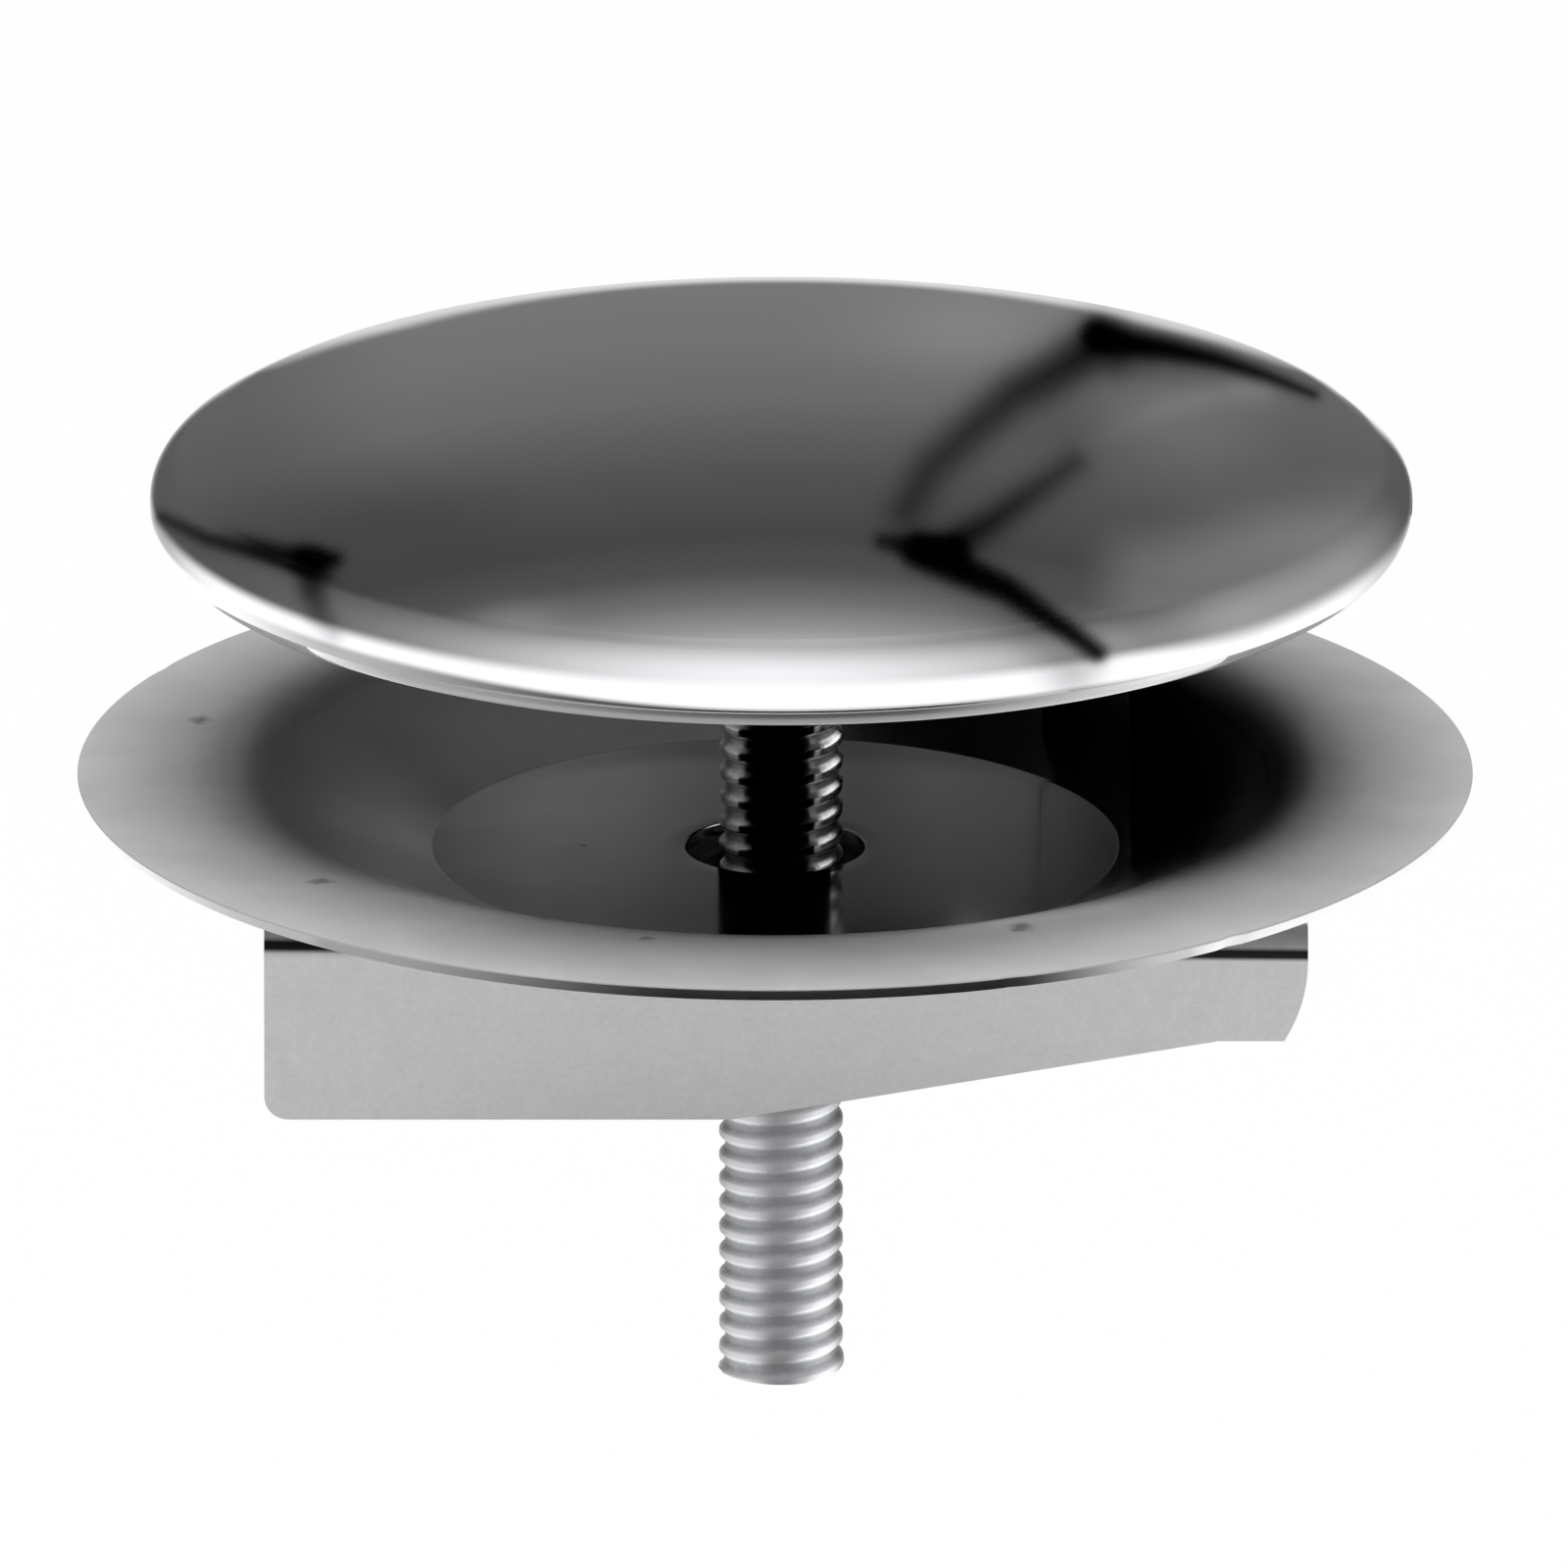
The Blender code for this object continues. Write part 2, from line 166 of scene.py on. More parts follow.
def made_by_nodes(name, tree, mesh, **inputs):
    """A plain mesh object from a geometry group, its inputs set by their sockets' identifiers."""
    guide = in_scene(name + "_guide", mesh)
    modifier = guide.modifiers.new("shape", "NODES")
    modifier.node_group = tree
    for key, value in inputs.items():
        socket = tree.interface.items_tree[key.replace("_", " ").capitalize()]
        modifier[socket.identifier] = value
    depsgraph = bpy.context.evaluated_depsgraph_get()
    made = bpy.data.meshes.new_from_object(guide.evaluated_get(depsgraph))
    made.name = name
    guide.modifiers.remove(modifier)
    bpy.data.objects.remove(guide)
    made.set_sharp_from_angle(angle=SHARP_ANGLE)
    return in_scene(name, made)


turning = turning_group()


def turned(name, outline, material, steps=TURN_STEPS, closed=True):
    """A turned piece. A closed outline is a ring's section; an open one starts and ends on the axis."""
    points = list(outline)
    if closed:
        points.append(points[0])
    chain = bpy.data.meshes.new(name + "_outline")
    edges = [(i, i + 1) for i in range(len(points) - 1)]
    chain.from_pydata([(r, 0, z) for r, z in points], edges, [])
    return made_by_nodes(name, turning, chain, steps=steps, material=material)


def hex_colour(text):
    """A hex sRGB colour as linear red, green, blue and alpha."""
    shades = [int(text[i : i + 2], 16) / 255 for i in (1, 3, 5)]
    return (*(s / 12.92 if s <= 0.04045 else ((s + 0.055) / 1.055) ** 2.4 for s in shades), 1)


def metal_finish(name, colour, roughness):
    """A metal's material, with its shader and the object's own coordinates in millimetres."""
    material = bpy.data.materials.new(name)
    material.use_nodes = True
    tree = material.node_tree
    shader = tree.nodes["Principled BSDF"]
    plain = {"Base Color": hex_colour(colour), "Metallic": 1, "Roughness": roughness}
    set_inputs(tree, shader, plain)
    coordinates = add_node(tree, "ShaderNodeTexCoord").outputs["Object"]
    scale = {"Scale": 1 / MM}
    in_mm = add_node(tree, "ShaderNodeVectorMath", coordinates, inputs=scale, operation="SCALE")
    return material, tree, shader, in_mm


def pits(tree, place, spacing, empty_share, core, edge):
    """Round pits so many millimetres apart, with a share of their places empty."""
    cells = add_node(tree, "ShaderNodeTexVoronoi", place, inputs={"Scale": 1 / spacing})
    chance = add_node(tree, "ShaderNodeSeparateColor", cells.outputs["Color"])
    chosen = add_node(tree, "ShaderNodeMath", chance, empty_share, operation="GREATER_THAN")
    near = add_node(tree, "ShaderNodeMapRange", cells.outputs["Distance"], core, edge, 1, 0)
    return add_node(tree, "ShaderNodeMath", near, chosen, operation="MULTIPLY")


def chrome_plate():
    """Bright chromium over buffed nickel: a mirror outside, with the faint grain and pits of the
    plating. The buff didn't reach under the edge, which is satin, nor the dull inside, whose colour
    is painted dark as the shade under the cap."""
    material, tree, shader, place = metal_finish("bright_chrome_plate", "#E6E6E8", 0.05)
    inside = add_node(tree, "ShaderNodeAttribute", attribute_name="unbuffed_and_painted_shade").outputs["Fac"]
    tone_share = add_node(tree, "ShaderNodeMapRange", inside, 0.5, 1, 0, 1)
    # The inside's dark colour is painted shade under the cap
    tone_ends = {COLOUR_A: hex_colour("#E6E6E8"), COLOUR_B: hex_colour("#454547")}
    tone = add_node(tree, "ShaderNodeMix", tone_share, inputs=tone_ends, data_type="RGBA")
    grain = add_node(tree, "ShaderNodeTexNoise", place, inputs={"Scale": 1 / 0.35})
    buffed = add_node(tree, "ShaderNodeMapRange", grain, 0.35, 0.75, 0.03, 0.055)
    pit = pits(tree, place, 3.2, 0.8, 0.012, 0.05)
    pitted = add_node(tree, "ShaderNodeMath", pit, 0.45, buffed, operation="MULTIPLY_ADD")
    rough = add_node(tree, "ShaderNodeMath", inside, 0.26, pitted, operation="MULTIPLY_ADD")
    film = add_node(tree, "ShaderNodeMapRange", inside, 0, 0.5, 1, 0.4)
    ripple = add_node(tree, "ShaderNodeTexNoise", place, inputs={"Scale": 1 / 0.22, "Detail": 3})
    height = add_node(tree, "ShaderNodeMath", pit, -2, ripple, operation="MULTIPLY_ADD")
    relief = {"Strength": 0.05, "Distance": 0.01 * MM, "Height": height}
    bump = add_node(tree, "ShaderNodeBump", inputs=relief)
    set_inputs(tree, shader, {"Base Color": tone, "Roughness": rough, "Metallic": film, "Normal": bump})
    return material


def cap_outline():
    """The cap's section: up over its outer face, round the sheet's edge and back inside."""
    top, crown, foot = 90, 90 - cap_dome_slope, -90
    tip = foot - cap_curl_angle
    dome, edge = (0, dome_centre_z), (cap_edge_r, cap_edge_radius)
    curl = (cap_edge_r - cap_land_width, cap_curl_radius)
    outer = arc(dome, dome_radius, top, crown, 60)
    outer += arc(edge, cap_edge_radius, crown, foot, 40)[1:]
    outer += arc(curl, cap_curl_radius, foot, tip, 12)
    edge_end = sheet_end(curl, cap_curl_radius - cap_sheet / 2, cap_sheet, tip, -1)
    inner = arc(curl, cap_curl_radius - cap_sheet, tip, foot, 8)
    inner += arc(edge, cap_edge_radius - cap_sheet, foot, crown, 30)
    inner += arc(dome, dome_radius - cap_sheet, crown, top, 60)[1:]
    return outer + edge_end + inner


cap = turned("cap_shell_finished", cap_outline(), chrome_plate(), closed=False)
# Marks the cap's inner face, painted dark as the shade under the cap, and the satin under its edge
unbuffed_and_painted_shade = cap.data.attributes.new("unbuffed_and_painted_shade", "FLOAT", "POINT")
for vertex, mark in zip(cap.data.vertices, unbuffed_and_painted_shade.data):
    r, z = math.hypot(vertex.co.x, vertex.co.y), vertex.co.z
    from_dome = math.hypot(r, z - dome_centre_z) - dome_radius + cap_sheet
    from_edge = math.hypot(r - cap_edge_r, z - cap_edge_radius) - cap_edge_radius + cap_sheet
    under = math.degrees(math.atan2(cap_edge_radius - z, max(r - cap_edge_r, 0)))
    satin_share = min(max((under - satin_from) / satin_over, 0), 1)
    satin_edge = 0.5 * satin_share if z < cap_edge_radius else 0
    off_inner = from_dome if r < cap_edge_r - MERGE_DISTANCE else from_edge
    mark.value = 1 if off_inner < cap_sheet / 2 else satin_edge
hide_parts("cap_shell")
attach(cap, "cap")

# Hub: a round boss turned from brass bar and tapped for the stud, seated under the dome's middle.
# It is left bare, so it keeps the fine rings of the turning tool.
hub_low, hub_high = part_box("hub_boss")
hub_radius = hub_high.x
hub_chamfer = 0.6 * MM
hub_countersink = 0.35 * MM
bore_radius = 3.26 * MM
BORE_STEPS = 96


def round_axis(tree, place, axis_x=0):
    """A place's x, y and z, its flat spot across the axis, and its distance from the axis."""
    parts = add_node(tree, "ShaderNodeSeparateXYZ", place).outputs
    flat = add_node(tree, "ShaderNodeCombineXYZ", parts["X"], parts["Y"])
    axis = (axis_x, 0, 0)
    return parts, flat, add_node(tree, "ShaderNodeVectorMath", flat, axis, operation="DISTANCE")


def turned_brass():
    """Bare brass from the lathe: warm, with fine rings round the axis and slight tarnish."""
    material, tree, shader, place = metal_finish("turned_brass", "#C9A462", 0.3)
    parts, _, radius = round_axis(tree, place)
    along = add_node(tree, "ShaderNodeMath", radius, parts["Z"], operation="ADD")
    # The tool's feed is 0.15 mm a turn, drawn twice as coarse so that it shows
    feed = add_node(tree, "ShaderNodeMath", along, 2 * math.pi / 0.3, operation="MULTIPLY")
    rings = add_node(tree, "ShaderNodeMath", feed, operation="SINE")
    tarnish = add_node(tree, "ShaderNodeTexNoise", place, inputs={"Scale": 1 / 2.5, "Detail": 4})
    darker = add_node(tree, "ShaderNodeMapRange", tarnish, 0.4, 0.7, 0, 0.7)
    tone_ends = {COLOUR_A: hex_colour("#CFAB6A"), COLOUR_B: hex_colour("#9C7A44")}
    tone = add_node(tree, "ShaderNodeMix", darker, inputs=tone_ends, data_type="RGBA")
    rough = add_node(tree, "ShaderNodeMapRange", tarnish, 0.35, 0.7, 0.26, 0.42)
    relief = {"Strength": 0.25, "Distance": 0.02 * MM, "Height": rings}
    bump = add_node(tree, "ShaderNodeBump", inputs=relief)
    set_inputs(tree, shader, {"Base Color": tone, "Roughness": rough, "Normal": bump})
    return material


hub_section = [
    (bore_radius, hub_high.z),
    (hub_radius, hub_high.z),
    (hub_radius, hub_low.z + hub_chamfer),
    (hub_radius - hub_chamfer, hub_low.z),
    (bore_radius + hub_countersink, hub_low.z),
    (bore_radius, hub_low.z + hub_countersink),
]
hub = turned("hub_boss_finished", hub_section, turned_brass(), steps=BORE_STEPS)
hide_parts("hub_boss")
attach(hub, "cap")

# Solder: a fillet of soft solder run round the hub's top, which fixes the hub to the dome.
# It froze with a hollow face and a slightly uneven toe.
solder_low, solder_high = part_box("solder_ring")
solder_gap = 0.3 * MM
solder_inner = hub_radius + solder_gap
solder_leg = solder_high.x - solder_inner
solder_wander = 0.12 * MM
solder_steps = 144


def soft_solder():
    """Tin solder as it froze: dull grey, with a soft crystal mottle."""
    material, tree, shader, place = metal_finish("soft_solder", "#A5A6A3", 0.42)
    crystals = {"Scale": 1 / 0.6, "Detail": 4, "Distortion": 1.2}
    mottle = add_node(tree, "ShaderNodeTexNoise", place, inputs=crystals)
    rough = add_node(tree, "ShaderNodeMapRange", mottle, 0.35, 0.7, 0.3, 0.58)
    relief = {"Strength": 0.4, "Distance": 0.04 * MM, "Height": mottle}
    bump = add_node(tree, "ShaderNodeBump", inputs=relief)
    set_inputs(tree, shader, {"Roughness": rough, "Normal": bump})
    return material


def under_dome(r):
    """Height of the dome's inner face at a distance from the axis."""
    return dome_centre_z + math.sqrt((dome_radius - cap_sheet) ** 2 - r**2)


def solder_outline():
    """The fillet's section: along the dome to its toe, then down its hollow face to the hub."""
    roof = []
    for share in np.linspace(0, 1, 9):
        r = solder_inner + solder_leg * share
        roof.append((r, under_dome(r) - solder_gap))
    toe_z = roof[-1][1]
    hollow = []
    for share in np.linspace(0, 1, 17)[1:]:
        turn = math.radians(90 * share)
        r = solder_inner + solder_leg * (1 - math.sin(turn))
        hollow.append((r, toe_z - (toe_z - solder_low.z) * (1 - math.cos(turn))))
    return roof + hollow


solder = turned("solder_ring_finished", solder_outline(), soft_solder(), steps=solder_steps)
for vertex in solder.data.vertices:
    flat = Vector((vertex.co.x, vertex.co.y))
    reach = (flat.length - solder_inner) / solder_leg
    turn = math.atan2(flat.y, flat.x)
    wander = 0.5 * math.sin(3 * turn + 1) + 0.3 * math.sin(7 * turn) + 0.2 * math.sin(11 * turn + 2)
    shorter = 1 - solder_wander * reach * (0.6 + 0.4 * wander) / flat.length
    vertex.co.x *= shorter
    vertex.co.y *= shorter
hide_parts("solder_ring")
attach(solder, "cap")

# Stud: a length of 1/4-20 threaded rod in low-carbon steel, rolled, zinc plated and cut to two
# inches. It is screwed and soldered in the hub, and the cut has left its last thread slightly wide.
stud_low, stud_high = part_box("threaded_stud")
stud_radius = 3.12 * MM
stud_chamfer = 0.5 * MM
thread_pitch = 25.4 / 20 * MM
thread_depth = 0.3 * MM
thread_crest_share = 0.2
thread_flank_share = 0.3
thread_rows = 22
thread_columns = 84
cut_flare = 0.1 * MM
cut_flare_height = 1.3 * MM
# Heights, as its material counts them, below which the plate is dull and above which bright
dull_below_mm, bright_above_mm = -24, -18


def thread_group():
    """A right-hand screw thread between two heights, its rows of points laid along the helix."""
    tree = bpy.data.node_groups.new("rolled_screw_thread", "GeometryNodeTree")
    sizes = ("outer_radius", "thread_depth", "pitch", "bottom", "top", "chamfer")
    sizes += ("crest_share", "flank_share", "flare", "flare_height")
    floats = dict.fromkeys(sizes, "Float")
    group_sockets(tree, **floats, columns="Int", rows_a_turn="Int", material="Material")
    given = add_node(tree, "NodeGroupInput").outputs
    pitch, bottom, top = given["Pitch"], given["Bottom"], given["Top"]
    height = add_node(tree, "ShaderNodeMath", top, bottom, operation="SUBTRACT")
    pitches = add_node(tree, "ShaderNodeMath", height, pitch, operation="DIVIDE")
    whole = add_node(tree, "ShaderNodeMath", pitches, operation="CEIL")
    turns = add_node(tree, "ShaderNodeMath", whole, 2, operation="ADD")
    rows = add_node(tree, "ShaderNodeMath", turns, given["Rows a turn"], 1, operation="MULTIPLY_ADD")
    columns = add_node(tree, "ShaderNodeMath", given["Columns"], 1, operation="ADD")
    grid, u, v = grid_places(tree, columns, rows)
    # A row starts a pitch below the bottom and climbs one pitch in its turn, then is cut square
    share = add_node(tree, "ShaderNodeMath", v, turns, u, operation="MULTIPLY_ADD")
    climb = add_node(tree, "ShaderNodeMath", share, 1, operation="SUBTRACT")
    free_z = add_node(tree, "ShaderNodeMath", climb, pitch, bottom, operation="MULTIPLY_ADD")
    over_bottom = add_node(tree, "ShaderNodeMath", free_z, bottom, operation="MAXIMUM")
    z = add_node(tree, "ShaderNodeMath", over_bottom, top, operation="MINIMUM")
    # Share of a pitch from the nearest crest, whose upper edge is at whole pitches at +X
    threads = add_node(tree, "ShaderNodeMath", z, pitch, operation="DIVIDE")
    lifted = add_node(tree, "ShaderNodeMath", threads, 1 / 16, operation="ADD")
    along = add_node(tree, "ShaderNodeMath", lifted, u, operation="SUBTRACT")
    from_crest = add_node(tree, "ShaderNodeMath", along, 0.5, operation="PINGPONG")
    outer = given["Outer radius"]
    root = add_node(tree, "ShaderNodeMath", outer, given["Thread depth"], operation="SUBTRACT")
    half_crest = add_node(tree, "ShaderNodeMath", given["Crest share"], 0.5, operation="MULTIPLY")
    flank_foot = add_node(tree, "ShaderNodeMath", half_crest, given["Flank share"], operation="ADD")
    flank = (half_crest, flank_foot, outer, root)
    tooth = add_node(
        tree, "ShaderNodeMapRange", from_crest, *flank, interpolation_type="SMOOTHSTEP"
    )
    above = add_node(tree, "ShaderNodeMath", z, bottom, operation="SUBTRACT")
    widened = add_node(tree, "ShaderNodeMapRange", above, 0, given["Flare height"], given["Flare"], 0)
    flared = add_node(tree, "ShaderNodeMath", tooth, widened, operation="ADD")
    inside = add_node(tree, "ShaderNodeMath", outer, given["Chamfer"], operation="SUBTRACT")
    below = add_node(tree, "ShaderNodeMath", top, z, operation="SUBTRACT")
    steep = add_node(tree, "ShaderNodeMath", above, 3, operation="MULTIPLY")
    near_end = add_node(tree, "ShaderNodeMath", steep, below, operation="MINIMUM")
    chamfered = add_node(tree, "ShaderNodeMath", inside, near_end, operation="ADD")
    outline = add_node(tree, "ShaderNodeMath", flared, chamfered, operation="MINIMUM")
    # The first and last rows close the ends on the axis
    edge_share = add_node(tree, "ShaderNodeMath", v, 0.5, operation="PINGPONG")
    inner_row = add_node(tree, "ShaderNodeMath", edge_share, 0.0001, operation="GREATER_THAN")
    radius = add_node(tree, "ShaderNodeMath", outline, inner_row, operation="MULTIPLY")
    angle = add_node(tree, "ShaderNodeMath", u, 2 * math.pi, operation="MULTIPLY")
    finish_group(tree, given, grid, angle, radius, z)
    return tree


def zinc_plated_thread():
    """Bright zinc on a rolled thread: shiny crests, a colour darker towards the roots and lighter on
    the crests with random flecks, and a duller lower end. The rolling left fine grooves round the
    axis, which spread its glints up and down."""
    material, tree, shader, place = metal_finish("bright_zinc_plate", "#C4C5C7", 0.3)
    parts, _, radius = round_axis(tree, place)
    root, crest = (stud_radius - thread_depth) / MM, stud_radius / MM
    # The colour is darker towards the thread's roots and lighter on its crests, with random flecks
    depth = add_node(tree, "ShaderNodeMapRange", radius, root, crest, -0.45, 0.55)
    fleck_noise = {"Scale": 1 / 0.3, "Detail": 3, "Distortion": 0.6}
    flecks = add_node(tree, "ShaderNodeTexNoise", place, inputs=fleck_noise)
    toward_crest = add_node(tree, "ShaderNodeMath", flecks, 0.9, depth, operation="MULTIPLY_ADD")
    tone_share = add_node(tree, "ShaderNodeMapRange", toward_crest, 0.05, 0.7, 0, 1)
    tone_ends = {COLOUR_A: hex_colour("#C2C3C5"), COLOUR_B: hex_colour("#E2E3E5")}
    tone = add_node(tree, "ShaderNodeMix", tone_share, inputs=tone_ends, data_type="RGBA")
    dull = add_node(tree, "ShaderNodeMapRange", parts["Z"], dull_below_mm, bright_above_mm, 0.3, 0)
    shine = add_node(tree, "ShaderNodeMapRange", toward_crest, 0.1, 1, 0.36, 0.24)
    rough = add_node(tree, "ShaderNodeMath", shine, dull, operation="ADD")
    around = add_node(tree, "ShaderNodeTangent", direction_type="RADIAL", axis="Z")
    relief = {"Strength": 0.35, "Distance": 0.03 * MM, "Height": flecks}
    bump = add_node(tree, "ShaderNodeBump", inputs=relief)
    set_inputs(tree, shader, {"Base Color": tone, "Roughness": rough, "Normal": bump})
    set_inputs(tree, shader, {"Anisotropic": 0.95, "Anisotropic Rotation": 0.25, "Tangent": around})
    return material


stud = made_by_nodes(
    "threaded_stud_finished",
    thread_group(),
    bpy.data.meshes.new("thread_seed"),
    outer_radius=stud_radius,
    thread_depth=thread_depth,
    pitch=thread_pitch,
    bottom=stud_low.z,
    top=stud_high.z,
    chamfer=stud_chamfer,
    crest_share=thread_crest_share,
    flank_share=thread_flank_share,
    flare=cut_flare,
    flare_height=cut_flare_height,
    columns=thread_columns,
    rows_a_turn=thread_rows,
    material=zinc_plated_thread(),
)
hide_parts("threaded_stud")
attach(stud, "cap")

# Washer: a thin steel disc, blanked and pressed to a dish with a flat rim, then zinc plated to a
# satin grey. It hangs loose on the stud, hollow side up, and bears on the deck's underside.
dish_low, dish_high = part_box("dish_washer")
dish_centre_x = (dish_low.x + dish_high.x) / 2
dish_radius = (dish_high.x - dish_low.x) / 2
dish_sheet = 0.75 * MM
dish_depth = 4.0 * MM
dish_floor_radius = 17.3 * MM
dish_slope = 24
dish_bend_radius = 6.0 * MM
dish_floor_bend = 0.45 * MM
dish_hole_radius = 4.5 * MM
dish_edge_roll = 0.1 * MM
dish_hole_roll = 0.14 * MM
dish_edge_break = 0.4 * MM
dish_edge_burr = 0.08 * MM
# How far the rings of points on the flat floor and rim keep from their ends
floor_inset, rim_inset = 1 * MM, 0.5 * MM
knock_reach = 1 * MM
# Distances from its middle, as its material counts them: where the matt film begins and is full,
# where the floor's finish ends and the wall's begins, and where the wall's haze begins and is full
film_from_mm, film_full_mm = 25.6, 31.0
floor_end_mm, wall_start_mm = 17.0, 17.4
haze_from_mm, haze_full_mm = 21.5, 27
# Small knocks on the rim: degrees round the stud, depth and width
rim_knocks = ((-49.0, 0.16 * MM, 0.5 * MM), (-70.0, 0.1 * MM, 0.35 * MM), (152.0, 0.08 * MM, 0.6 * MM))
# Stains on the rim and floor: x and y in millimetres from the stud, and radius
zinc_stains = (
    (-29.2, 8.1, 0.7),
    (-23.0, -17.9, 0.8),
    (-11.9, -23.6, 0.6),
    (-6.7, -27.2, 0.5),
    (12.0, -25.3, 0.9),
    (-10.0, -0.1, 0.35),
)


def dish_outline():
    """The washer's section: out over its upper face, round the rim and back below to the hole."""
    half_bend = math.tan(math.radians(dish_slope / 2))
    wall_run = dish_depth / math.tan(math.radians(dish_slope))
    top = dish_high.z
    floor_z = top - dish_depth
    floor_bend = (dish_floor_radius - dish_floor_bend * half_bend, floor_z + dish_floor_bend)
    rim_bend_r = dish_floor_radius + wall_run + dish_bend_radius * half_bend
    rim_bend = (rim_bend_r, top - dish_bend_radius)
    under = top - dish_sheet
    hole = dish_hole_radius
    upper = arc((hole + dish_hole_roll, floor_z - dish_hole_roll), dish_hole_roll, 180, 90, 5)
    upper += [(r, floor_z) for r in np.linspace(hole + floor_inset, floor_bend[0] - floor_inset, 12)]
    upper += arc(floor_bend, dish_floor_bend, -90, -90 + dish_slope, 8)
    upper += arc(rim_bend, dish_bend_radius, 90 + dish_slope, 90, 24)
    upper += [(r, top) for r in np.linspace(rim_bend_r + rim_inset, dish_radius - rim_inset, 10)]
    roll = (dish_radius - dish_edge_roll, top - dish_edge_roll)
    upper += arc(roll, dish_edge_roll, 90, 0, 6)
    lower = [(dish_radius - dish_edge_break, under)]
    lower += arc(rim_bend, dish_bend_radius - dish_sheet, 90, 90 + dish_slope, 20)
    lower += arc(floor_bend, dish_floor_bend + dish_sheet, -90 + dish_slope, -90, 10)
    hole_burr = (hole + dish_edge_burr, floor_z - dish_sheet + dish_edge_burr)
    lower += arc(hole_burr, dish_edge_burr, -90, -180, 4)
    return upper + lower


def satin_zinc():
    """Zinc plate on pressed sheet. The rim, held by the press's ring, keeps a whitish matt film;
    the wall and floor were burnished by the punch, and the sheared edge is bright. A few stains."""
    material, tree, shader, place = metal_finish("satin_zinc_plate", "#C0C0C1", 0.5)
    clouds = {"Scale": 1 / 5, "Detail": 5, "Distortion": 0.4}
    cloud = add_node(tree, "ShaderNodeTexNoise", place, inputs=clouds)
    grain = add_node(tree, "ShaderNodeTexNoise", place, inputs={"Scale": 1 / 0.35, "Detail": 3})
    parts, flat, radius = round_axis(tree, place, dish_centre_x / MM)
    uneven = add_node(tree, "ShaderNodeMath", grain, 1.4, radius, operation="MULTIPLY_ADD")
    film_ends = (film_from_mm, film_full_mm, 0, 1)
    filmed = add_node(tree, "ShaderNodeMapRange", uneven, *film_ends, interpolation_type="SMOOTHSTEP")
    edge_z, edge_r = dish_high.z / MM, dish_radius / MM
    low = add_node(tree, "ShaderNodeMapRange", parts["Z"], edge_z - 0.16, edge_z - 0.1, 1, 0)
    past_rim = add_node(tree, "ShaderNodeMapRange", radius, edge_r - 0.6, edge_r - 0.5, 0, 1)
    sheared = add_node(tree, "ShaderNodeMath", low, past_rim, operation="MULTIPLY")
    unsheared = add_node(tree, "ShaderNodeMath", 1, sheared, operation="SUBTRACT")
    matt = add_node(tree, "ShaderNodeMath", filmed, unsheared, operation="MULTIPLY")
    ragged = add_node(tree, "ShaderNodeTexNoise", flat, inputs={"Scale": 1.4, "Detail": 3})
    # The noise moves the stains' edges by up to 1.3 mm, and by half of that on the whole
    half_shift = 0.65
    shift = (2 * half_shift,) * 3
    shifted = add_node(
        tree, "ShaderNodeVectorMath", ragged.outputs["Color"], shift, flat, operation="MULTIPLY_ADD"
    )
    stain = 0
    for x, y, size in zinc_stains:
        spot = (x + half_shift, y + half_shift, half_shift)
        gap = add_node(tree, "ShaderNodeVectorMath", shifted, spot, operation="DISTANCE")
        mark = add_node(tree, "ShaderNodeMapRange", gap, 0.3 * size, size, 1, 0)
        stain = add_node(tree, "ShaderNodeMath", stain, mark, operation="MAXIMUM")
    # They show on both faces of the rim, but not under the floor
    foot = dish_low.z / MM
    above_foot = add_node(tree, "ShaderNodeMapRange", parts["Z"], foot + 0.35, foot + 0.55, 0, 1)
    stain = add_node(tree, "ShaderNodeMath", stain, above_foot, operation="MULTIPLY")
    tone_share = add_node(tree, "ShaderNodeMapRange", cloud, 0.3, 0.7, 0, 1)
    tone_ends = {COLOUR_A: hex_colour("#BFBFC1"), COLOUR_B: hex_colour("#C9C9C9")}
    tone = add_node(tree, "ShaderNodeMix", tone_share, inputs=tone_ends, data_type="RGBA")
    edge_ends = {COLOUR_A: tone, COLOUR_B: hex_colour("#E8E8EA")}
    bright_edge = add_node(tree, "ShaderNodeMix", sheared, inputs=edge_ends, data_type="RGBA")
    stained_share = add_node(tree, "ShaderNodeMath", stain, 0.6, operation="MULTIPLY")
    stained_ends = {COLOUR_A: bright_edge, COLOUR_B: hex_colour("#4A4A4B")}
    stained = add_node(tree, "ShaderNodeMix", stained_share, inputs=stained_ends, data_type="RGBA")
    film = add_node(tree, "ShaderNodeMapRange", matt, 0, 1, 1, 0.3)
    floor_shine = add_node(tree, "ShaderNodeMapRange", radius, floor_end_mm, wall_start_mm, 0.13, 0.19)
    wall_haze = add_node(tree, "ShaderNodeMapRange", radius, haze_from_mm, haze_full_mm, 0, 0.14)
    burnished = add_node(tree, "ShaderNodeMath", floor_shine, wall_haze, operation="ADD")
    polished = add_node(tree, "ShaderNodeMath", sheared, -0.02, burnished, operation="MULTIPLY_ADD")
    filmy = add_node(tree, "ShaderNodeMath", matt, 0.37, polished, operation="MULTIPLY_ADD")
    rough = add_node(tree, "ShaderNodeMath", stain, 0.1, filmy, operation="MULTIPLY_ADD")
    relief = {"Strength": 0.04, "Distance": 0.03 * MM, "Height": grain}
    bump = add_node(tree, "ShaderNodeBump", inputs=relief)
    set_inputs(tree, shader, {"Base Color": stained, "Roughness": rough, "Metallic": film, "Normal": bump})
    return material


